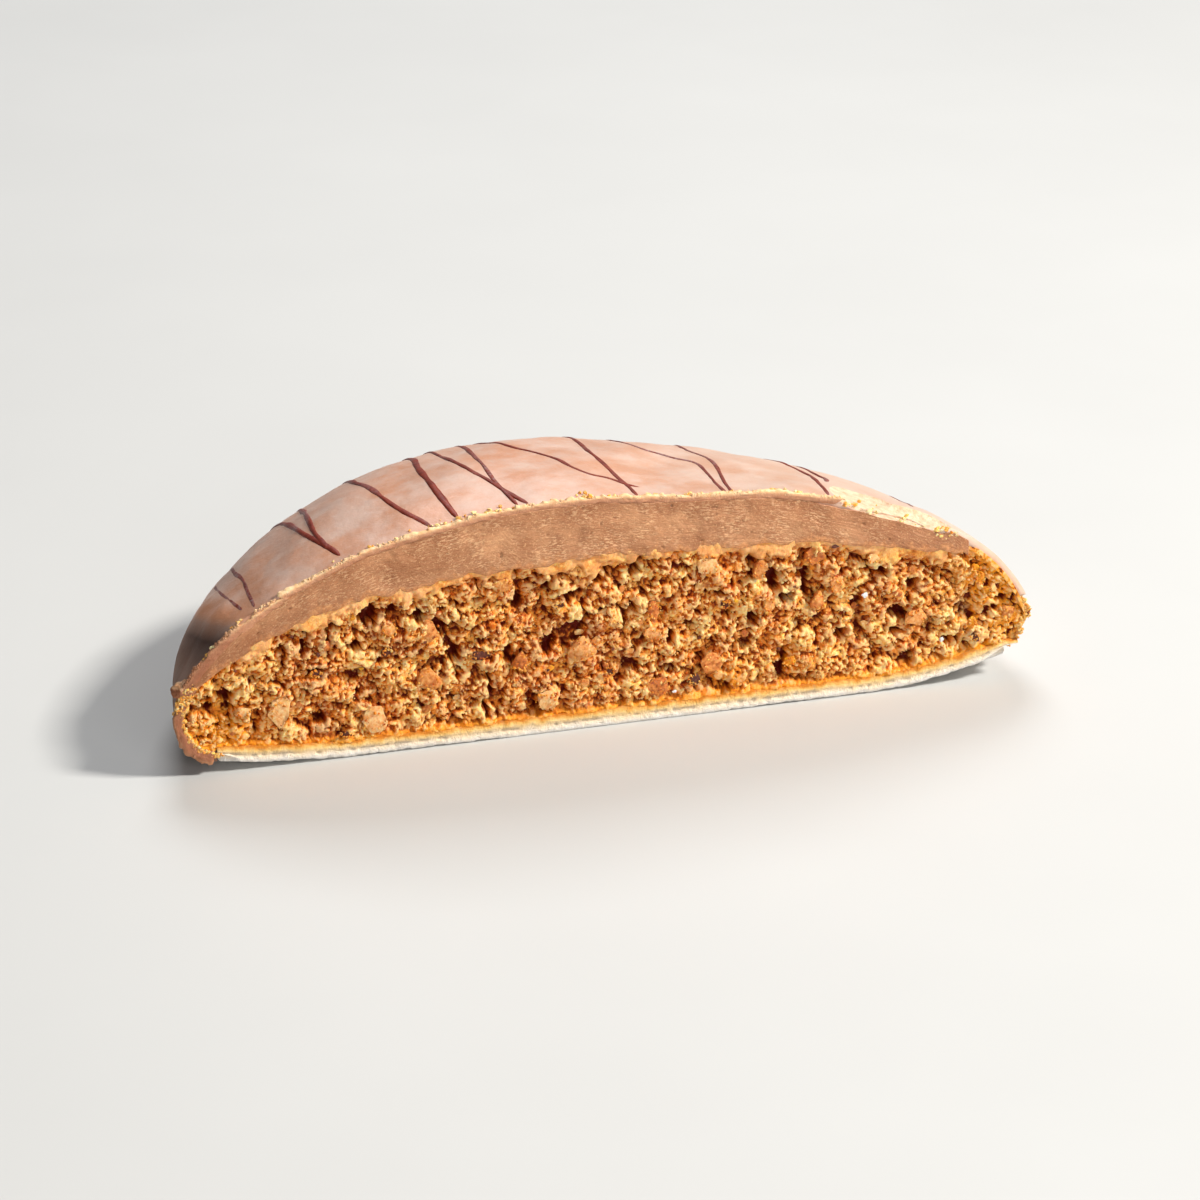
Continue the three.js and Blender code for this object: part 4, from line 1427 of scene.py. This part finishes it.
# How deep each mark of the knife goes, in mm.
NOUGAT_MARKS = {"streak": 0.018, "drag": 0.1, "waves": 0.03, "pits": 0.2, "rolled_edge": 0.05}


def nougat_face(u, v):
    left, right = -LEFT["nougat_end"] - 0.9, RIGHT["nougat_end"] + 0.2
    x = left + (right - left) * u
    low = cake_top_at(x) + 0.1 + summed(x, 0 * x, NOUGAT_EDGE)
    meets_lip = 0.55 * soft_stretch(x, BROWN_END, (20, 23))
    blunt = 0.6 * soft_step(x, RIGHT["nougat_end"] - 4, RIGHT["nougat_end"] - 1)
    chipped = soft_stretch(x, *CHIPPED)
    over_lining = np.maximum(0.25 * (1 - chipped) + blunt, meets_lip)
    high = np.maximum(lining_high(x) + over_lining, low + 0.02)
    z = low + (high - low) * v
    along, across = x * 1.08, (high - z)
    streak = patches(along * 0.12, across, 0.32, 43) + 0.6 * patches(along * 0.1, across, 0.14, 44)
    drag = patches(along, across, 2.6, 45)
    waves = patches(0.3 * (along + across), along - across, 0.6, 57) * soft_step(drag, -0.2, 0.6)
    drag = drag + 0.5 * patches(along, across, 1.1, 58)
    pits = soft_step(patches(along * 0.8, across, 0.4, 46), 0.86, 0.97)
    rolled_edge = (1 - soft_step(v * (high - low), 0.0, 0.45)) ** 2
    marks = (streak, drag, waves, pits, rolled_edge)
    depth = NOUGAT_FACE["behind"] + sum(deep * mark for deep, mark in zip(NOUGAT_MARKS.values(), marks))
    return x, CUT_OFFSET + np.maximum(depth, 0.05), z, along, across, z - low


def nougat_section(angle):
    radii = np.linspace(0, float(around("nougat_end", angle)), 14)
    bottom = np.column_stack([radii, cake_top(radii, angle) + 0.1])
    shell = coat_section(angle, COAT - 0.1, 4, 40)[::-1]
    shell = shell[:np.argmax(shell[:, 0]) + 1]
    top = np.column_stack([radii, np.interp(radii, shell[:, 0], shell[:, 1])])[::-1]
    return np.vstack([bottom, top])


def nougat_layer():
    marks = ("along", "across", "base")
    face = grid(NOUGAT_FACE["columns"], NOUGAT_FACE["rows"], nougat_face, marks)
    give_depth(face, NOUGAT_FACE["depth"])
    core = turned(nougat_section, 80)
    marked(core, along=0, across=0, base=0)
    knife_cut(core, 1.2)
    for lump in chip_lumps:
        face, core = carve(face, lump, NOUGAT, BROKEN), carve(core, lump, NOUGAT, BROKEN)
    return piece(joined(face, core), "nougat_layer", "nougat", [NOUGAT, BROKEN])


nougat_layer()

# %% [markdown]
# ## Milk chocolate coat
# The coat is turned as a shell of its real thickness, then swollen and sunk a little here and
# there, because poured chocolate keeps the lumps that it runs over. The swelling is a function of
# the place, so that the strands and the cut edge can follow it.

# %% Milk chocolate coat
# Places on the left flank, their reach and how far the coat stands out or is drawn in there.
FLANK_SWELLS = [
    (Vector((-40.4, 12.5, 13.2)), 2.4, 0.5),
    (Vector((-39.4, 7.5, 14.8)), 2.4, 0.35),
    (Vector((-42.8, 8.0, 10.3)), 3.0, -0.35),
    (Vector((-45.5, 9.0, 6.0)), 6.0, -0.35),
]


def swell(place):
    """How far the poured coat stands out at a place, in mm."""
    soft = 0.26 * noise.noise(place / 9.0) + 0.12 * noise.noise(place / 4.0 + Vector((7, 3, 1)))
    total = soft + 0.03 * noise.noise(place / 1.3)
    for spot, reach, height in FLANK_SWELLS:
        total += height * math.exp(-((place - spot).length / reach) ** 2)
    return total


COAT_ROWS = {"side": 14, "dome": 92, "lining_side": 4, "lining_dome": 18}
lining_rows = COAT_ROWS["lining_side"] + COAT_ROWS["lining_dome"] + 1


def coat_profile(angle):
    lining = coat_section(angle, COAT, COAT_ROWS["lining_side"], COAT_ROWS["lining_dome"])[::-1]
    return np.vstack([lining, coat_section(angle, 0.0, COAT_ROWS["side"], COAT_ROWS["dome"])])


def milk_coat():
    bm = turned(coat_profile, 270)
    row = bm.verts.layers.int["row"]
    bm.normal_update()
    bmesh.ops.recalc_face_normals(bm, faces=bm.faces)
    bm.normal_update()
    skin = [vert for vert in bm.verts if vert[row] >= lining_rows + 2]
    for vert, move in [(vert, vert.normal * swell(vert.co)) for vert in skin]:
        vert.co += move
    knife_cut(bm, 0.3)
    bmesh.ops.triangulate(bm, faces=[face for face in bm.faces if len(face.verts) > 4])
    surface = BVHTree.FromBMesh(bm)
    for lump in (*chip_lumps, tip_lump):
        bm = carve(bm, lump, MILK, BROKEN)
    piece(bm, "milk_coat", "glaze", [MILK, BROKEN])
    return surface


coat_surface = milk_coat()

# %% [markdown]
# ## The coat's cut edge
# The knife cracks the coat as it goes through. The cut shows as a narrow band along the
# whole outline, with a bright ragged lip where flakes stand up. The band is a grid rolled into a
# long tube that follows the outline. Its lip rises and falls at random.

# %% Cut edge of the coat
BAND = {"step": 0.11, "around": 18}
# Left of this x the coat broke lower, and the lip steps down.
STEP = -34.2
FLAKES = {"count": 1500, "smallest": 0.12, "largest": 0.34}
# The unbroken edge runs from one place (x, z) on the outline to another.
BAND_RUNS = [((-41.0, 1.2), (-45.0, 7.0)), ((-44.2, 8.9), (23.8, 21.5))]
# The band's section: across the coat (0 lining, 1 skin), behind the plane, share of the lip.
BAND_CORNERS = np.array([
    (-0.12, 0.30, 0.0), (0.1, 0.12, 0.0), (0.45, 0.09, 0.0), (0.75, 0.08, 0.1), (0.92, 0.08, 0.6),
    (1.0, 0.14, 1.0), (1.0, 0.45, 1.0), (0.93, 0.80, 0.4), (0.7, 1.25, 0.0), (0.2, 1.3, 0.0),
    (-0.12, 0.9, 0.0),
])


def followed(line, along):
    """x and z at places along one of the evenly spaced outlines."""
    count = np.arange(len(line))
    return np.interp(along, count, line[:, 0]), np.interp(along, count, line[:, 1])


def lip_rise(run, x):
    """How far the lip's flakes stand up, in mm."""
    rise = 0.06 + 0.2 * soft_step(patches(run, 0 * run, 1.1, 51), -0.4, 0.9)
    rise = rise + 0.26 * soft_step(patches(run, 3 + 0 * run, 0.4, 52), -0.3, 0.7)
    return rise + 0.35 * soft_stretch(x, (STEP - 0.2, STEP + 0.2), (STEP, STEP + 7))


def band_run(first, last):
    """The unbroken cut edge between two spots of the outline."""
    distance = run_along(outer_even)
    corners = np.vstack([BAND_CORNERS, BAND_CORNERS[:1]])
    def place(u, v):
        along = first + u * (last - first)
        out_x, out_z = followed(outer_even, along)
        in_x, in_z = followed(lining_even, along)
        length = np.hypot(out_x - in_x, out_z - in_z)
        way_x, way_z = (out_x - in_x) / length, (out_z - in_z) / length
        swelling = np.array([swell(Vector((x, CUT_OFFSET + 0.5, z))) for x, z in zip(out_x, out_z)])
        spot = v * (len(corners) - 1)
        across, behind, lip = (np.interp(spot, np.arange(len(corners)), side) for side in corners.T)
        past_brown = soft_step(out_x, *BROWN_END)
        across = 0.45 * past_brown + (1 - 0.45 * past_brown) * across
        run = np.interp(along, np.arange(len(distance)), distance)
        rise = lip_rise(run, out_x)
        ring = 2 * np.cos(2 * math.pi * v)
        rough = summed(run, ring, [(0.05, 0.5, 53), (0.03, 0.22, 54)])
        rough = rough * (1 + 1.8 * (1 - soft_step(out_x, -42, -37)))
        ending = soft_step(np.minimum(run - distance[first], distance[last] - run), 0.0, 0.5)
        reach = across * (length + swelling) * (0.6 + 0.4 * ending) + lip * rise * ending + rough
        set_back = soft_stretch(-out_x, (-STEP, 0.3 - STEP), (36, 42))
        reach = reach - 0.5 * set_back * (v < 0.8)
        y = CUT_OFFSET + np.maximum(behind + 0.06 * patches(run, ring, 0.6, 55), 0.03)
        y = y + (1 - ending) * 0.5 * (1.3 - behind)
        bright = np.clip(lip * (0.7 + 2.0 * rise) * (0.15 + 0.85 * past_brown), 0, 1)
        return in_x + way_x * reach, y, in_z + way_z * reach, bright
    columns = int((distance[last] - distance[first]) / BAND["step"])
    bm = grid(columns, BAND["around"], place, ("lip",))
    bmesh.ops.remove_doubles(bm, verts=bm.verts, dist=MERGE)
    bmesh.ops.holes_fill(bm, edges=[edge for edge in bm.edges if edge.is_boundary])
    bmesh.ops.recalc_face_normals(bm, faces=bm.faces)
    return bm


def lip_flakes():
    """Small flakes of chocolate that stand on the lip."""
    numbers = np.random.default_rng(58)
    first, last = spot_on_outline((-43.7, 9.5)), spot_on_outline((23.8, 21.5))
    spots = numbers.integers(first, last, FLAKES["count"])
    spots = spots[patches(spots * 0.08, 0 * spots, 1.5, 59) > -0.25]
    count = len(spots)
    size = size_between(FLAKES, numbers.random(count) ** 3)
    x, z = outer_even[spots, 0], outer_even[spots, 1] + numbers.uniform(0.0, 0.25, count)
    y = CUT_OFFSET + 0.65 * size + numbers.exponential(0.1, count)
    past_brown = soft_step(x, *BROWN_END)
    size = size * (1.5 - 0.5 * past_brown)
    marks = {"lip": (0.75 + 0.25 * numbers.random(count)) * (0.1 + 0.9 * past_brown)}
    return many(np.column_stack([x, y, z]), size, marks, 60)


def coat_cut_edge():
    runs = [band_run(spot_on_outline(first), spot_on_outline(last)) for first, last in BAND_RUNS]
    shard = rough_lump(**SHARD, fineness=4)
    lip = shard.verts.layers.float.new("lip")
    for vert in shard.verts:
        vert[lip] = 0.4 * (vert.co.z > SHARD["centre"][2] + 0.3)
    whole = joined(*runs, shard, lip_flakes())
    return piece(whole, "coat_cut_edge", "glaze", [CUT_EDGE])


coat_cut_edge()

# %% [markdown]
# ## Dark chocolate strands
# The strands were flung from a swinging nozzle and sank a little as they set. Each starts as a few
# places on the plan, hung on a smooth curve. Rays straight down find the coat under
# every step, and a grid rolled into a flattened tube is laid along them.

# %% Dark chocolate strands
# Each strand's places on the plan: x, and how far behind the cut.
STRANDS = [
    [(-36.7, -1), (-36.6, 4.5), (-36.3, 8.9), (-36.3, 14), (-35, 24)],
    [(-37.6, 1.5), (-38.2, 6), (-38.4, 11.3), (-37.8, 17)],
    [(-27.9, 1.5), (-28.5, 4.2), (-29.3, 7.3), (-29.9, 11.6), (-29.9, 20), (-30.5, 28)],
    [(-28.6, 3.6), (-28.9, 7.3), (-28.8, 11.2), (-27.7, 20.7), (-26, 34)],
    [(-18.2, -1), (-19.4, 2), (-20.6, 4.6), (-21.6, 9.8), (-22, 14.8), (-22.4, 19.7), (-22, 24),
     (-22, 34)],
    [(-15.8, -1), (-16.4, 2.3), (-16.7, 5.3), (-16.8, 9.5), (-16.5, 16.4), (-15.5, 24), (-15.5, 39)],
    [(-8.2, -1), (-9.7, 2.2), (-10.8, 5.3), (-11.6, 7.7), (-12.7, 11), (-13.3, 16.2), (-13, 23.5),
     (-12.5, 38)],
    [(-9.8, -1), (-10.4, 3), (-10.9, 7), (-10.9, 11.2), (-10.7, 16.5), (-9.8, 24.3), (-8.6, 41)],
    [(3.4, 3.6), (2.2, 4.3), (0.8, 6.1), (-0.9, 6.8), (-2.2, 9.1), (-3.1, 12.6), (-4.9, 16),
     (-6.4, 19), (-7.3, 26), (-7.5, 40)],
    [(2.3, -1), (2.1, 4.1), (1.7, 7.3), (1.4, 11), (1.3, 15.1), (2, 21.3), (2.5, 32), (2, 42)],
    [(11.4, -1), (11.6, 4.4), (12.1, 9.8), (12, 13), (10.4, 14.9), (9.2, 16.5), (7.6, 18.1),
     (6.5, 24), (5.5, 42)],
    [(11.9, -1), (12.7, 5.2), (13.7, 10.8), (14, 15.3), (13.5, 19.1), (14.6, 27.5), (16, 39)],
    [(22, -1), (23.1, 5.9), (24, 11.4), (23.9, 14.1), (23, 25), (22, 37)],
    [(24.6, 8.2), (25.4, 10.5), (25.3, 13.5), (25.5, 20), (26, 33)],
    [(33.6, 6.4), (34, 9.5), (34.5, 14), (35, 23)],
]
# How far some strands have sunk and bloomed, and each strand's width as a share of the usual one.
FADED = {0: 0.6, 1: 0.7, 10: 0.2, 11: 0.15, 14: 0.3}
WIDTHS = [0.8, 0.7, 1.0, 1.0, 1.05, 1.1, 0.85, 0.8, 0.7, 0.8, 0.6, 0.75, 0.8, 0.9, 0.6]
STRAND = {"half_width": 0.33, "half_height": 0.13, "step": 0.35, "around": 12, "rim_share": 0.985,
          "sunk": 0.03}
HIGH = 60
DOWN = Vector((0, 0, -1))


def smooth_plan(places, step):
    """A smooth curve through places on the plan, as closely spaced points."""
    knots = [np.array(place, float) for place in places]
    knots = [2 * knots[0] - knots[1], *knots, 2 * knots[-1] - knots[-2]]
    points = []
    for before, start, end, after in zip(knots, knots[1:], knots[2:], knots[3:]):
        for t in np.linspace(0, 1, 40, endpoint=False):
            points.append(0.5 * (2 * start + (end - before) * t
                                 + (2 * before - 5 * start + 4 * end - after) * t ** 2
                                 + (3 * start - before - 3 * end + after) * t ** 3))
    points = np.array(points + [knots[-2]])
    return evenly(points, max(int(run_along(points)[-1] / step), 8))


def laid(plan):
    """Points and normals of the coat under a plan curve, from the cut backwards."""
    places = []
    for x, behind in plan:
        y = CUT_OFFSET + behind
        angle = math.atan2(y, x)
        limit = STRAND["rim_share"] * float(rim_radius(angle))
        shrink = min(limit / math.hypot(x, y), 1)
        hit, normal, _, _ = coat_surface.ray_cast(Vector((x * shrink, y * shrink, HIGH)), DOWN)
        if hit is not None and y > CUT_OFFSET + 0.45:
            places.append((hit, normal))
    return places


def strand(index, places):
    path = laid(smooth_plan(places, STRAND["step"]))
    centres = np.array([hit[:] for hit, _ in path])
    ups = np.array([normal[:] for _, normal in path])
    for _ in range(3):
        ups[1:-1] = (ups[:-2] + ups[1:-1] * 2 + ups[2:]) / 4
        centres[1:-1] = (centres[:-2] + centres[1:-1] * 2 + centres[2:]) / 4
    ahead = np.gradient(centres, axis=0)
    sideways = np.cross(ahead, ups)
    sideways /= np.linalg.norm(sideways, axis=1)[:, None]
    ups /= np.linalg.norm(ups, axis=1)[:, None]
    count = len(centres)
    faded = FADED.get(index, 0)
    def place(u, v):
        step = np.round(u * (count - 1)).astype(int)
        turn = v * 2 * math.pi
        def uneven_run(lane, size, seed):
            return patches(step * STRAND["step"], lane * index + 0 * u, size, seed)
        closing = np.sqrt(np.clip(np.minimum(step, count - 1 - step) / 3.0, 0, 1))
        wide = STRAND["half_width"] * (1 + 0.28 * uneven_run(9.7, 2.6, 71))
        wide = wide * (1 + 0.12 * uneven_run(5.1, 0.9, 72)) * closing * WIDTHS[index]
        tall = STRAND["half_height"] * closing * (1 + 0.25 * uneven_run(3.3, 1.8, 73)) * (1 - faded)
        rise = tall * np.sin(turn) - STRAND["sunk"]
        across = wide * np.cos(turn)
        spot = centres[step] + sideways[step] * across[:, None] + ups[step] * rise[:, None]
        bloom = 0.02 + 0.7 * soft_step(uneven_run(2.3, 4.0, 74), 0.1, 0.7)
        return *spot.T, np.clip(bloom + faded, 0, 1)
    return merged(grid(count - 1, STRAND["around"], place, ("bloom",)))


strands = [strand(index, places) for index, places in enumerate(STRANDS)]
piece(joined(*strands), "dark_strands", "glaze", [DARK])

# %% [markdown]
# ## Loose crumbs
# The knife drags crumbs over the coat's edge and out of the broken tip. Each is a ball of twenty
# faces, pushed out of round.

# %% Loose crumbs
# Heaps of crumbs on the lip: x and how many. Along the chip: x, z and how many.
LIP_HEAPS = [
    (-40.9, 5), (-38.4, 4), (-18.4, 5), (-15.8, 8), (-13.0, 14), (-3.0, 16), (3.3, 14), (7.6, 14),
    (12.0, 6), (16.4, 22), (20.0, 6),
]
SCATTERED_CRUMBS = 50
CHIP_HEAPS = [
    (24.3, 21.2, 14), (26.8, 20.2, 12), (30.2, 18.9, 8), (32.6, 17.9, 8), (34.0, 17.3, 24),
    (35.3, 16.7, 30),
]


def crumb_ball(bm, place, size, draw, tone, shade):
    matrix = Matrix.Translation(place) @ Matrix.Diagonal((size, size * 0.8, size * 0.8, 1))
    matrix = matrix @ Matrix.Rotation(draw.uniform(0, 6), 4, Vector((draw.random(), draw.random(), 1)))
    made = bmesh.ops.create_icosphere(bm, subdivisions=1, radius=0.5, matrix=matrix)
    for vert in made["verts"]:
        vert.co += (vert.co - Vector(place)) * draw.uniform(-0.5, 0.35)
        vert[tone] = shade


def loose_crumbs():
    bm = bmesh.new()
    marked(bm, tone=0, crevice=0, soaked=0)
    tone = bm.verts.layers.float["tone"]
    draw = random.Random(81)
    spots = []
    for x, count in LIP_HEAPS:
        spots += [(x + draw.gauss(0, 0.45), draw.expovariate(5.0)) for _ in range(count)]
    spots += [(draw.uniform(-43, 24), draw.expovariate(5.0)) for _ in range(SCATTERED_CRUMBS)]
    for x, behind in spots:
        hit, _, _, _ = coat_surface.ray_cast(Vector((x, CUT_OFFSET + 0.4 + behind, HIGH)), DOWN)
        if hit is not None:
            size = 0.16 + 0.5 * draw.random() ** 2
            place = hit + Vector((0, 0, size * 0.25))
            crumb_ball(bm, place, size, draw, tone, draw.uniform(0.5, 1.0))
    for x, z, count in CHIP_HEAPS:
        for _ in range(count):
            aside, behind, up = draw.gauss(0, 0.6), draw.expovariate(2.5), draw.gauss(0, 0.18)
            place = Vector((x + aside, CUT_OFFSET + 0.25 + behind, z + up))
            size = 0.2 + 0.5 * draw.random() ** 2
            crumb_ball(bm, place, size, draw, tone, draw.uniform(0.55, 1.0))
    bmesh.ops.recalc_face_normals(bm, faces=bm.faces)
    return piece(bm, "loose_crumbs", "glaze", [CRUMB], smooth=False)


loose_crumbs()

# %% [markdown]
# ## Floor and light
# The floor is a pale board and not part of the biscuit. A key light from the upper right gives the
# dome its bright side and the crumb its shadows, as in the photo, and weak light from the front and
# the left keeps the dark side readable.

# %% Floor
def floor_finish():
    look = Finish("floor")
    base = look.uneven(60.0, 1.0).mix(colour(196, 196, 194), colour(204, 204, 202))
    return look.shaded(base, 0.6)


floor_bm = bmesh.new()
bmesh.ops.create_grid(floor_bm, x_segments=1, y_segments=1, size=4.0)
floor = plain_object(floor_bm, "floor", [floor_finish()])


# %% Lights
def softbox(name, place, size, power, tint=(1.0, 1.0, 1.0)):
    data = bpy.data.lights.new(name, "AREA")
    data.size = size
    data.energy = power
    data.color = tint
    light = bpy.data.objects.new(name, data)
    light.location = place
    centre = Vector((0, 0, 0.012))
    light.rotation_euler = (centre - light.location).to_track_quat("-Z", "Y").to_euler()
    bpy.context.collection.objects.link(light)


softbox("key", (0.48, -0.24, 0.52), 0.12, 7.4, (1.0, 0.97, 0.92))
softbox("top", (0.10, 0.42, 0.50), 0.3, 2.3, (0.97, 0.98, 1.0))
softbox("front", (0.05, -0.75, 0.22), 0.5, 2.4)
world = bpy.data.worlds.new("world")
bpy.context.scene.world = world
world.use_nodes = True
world.node_tree.nodes["Background"].inputs["Color"].default_value = (0.97, 0.98, 1.0, 1.0)
world.node_tree.nodes["Background"].inputs["Strength"].default_value = 0.1
bpy.context.scene.view_settings.view_transform = "Standard"
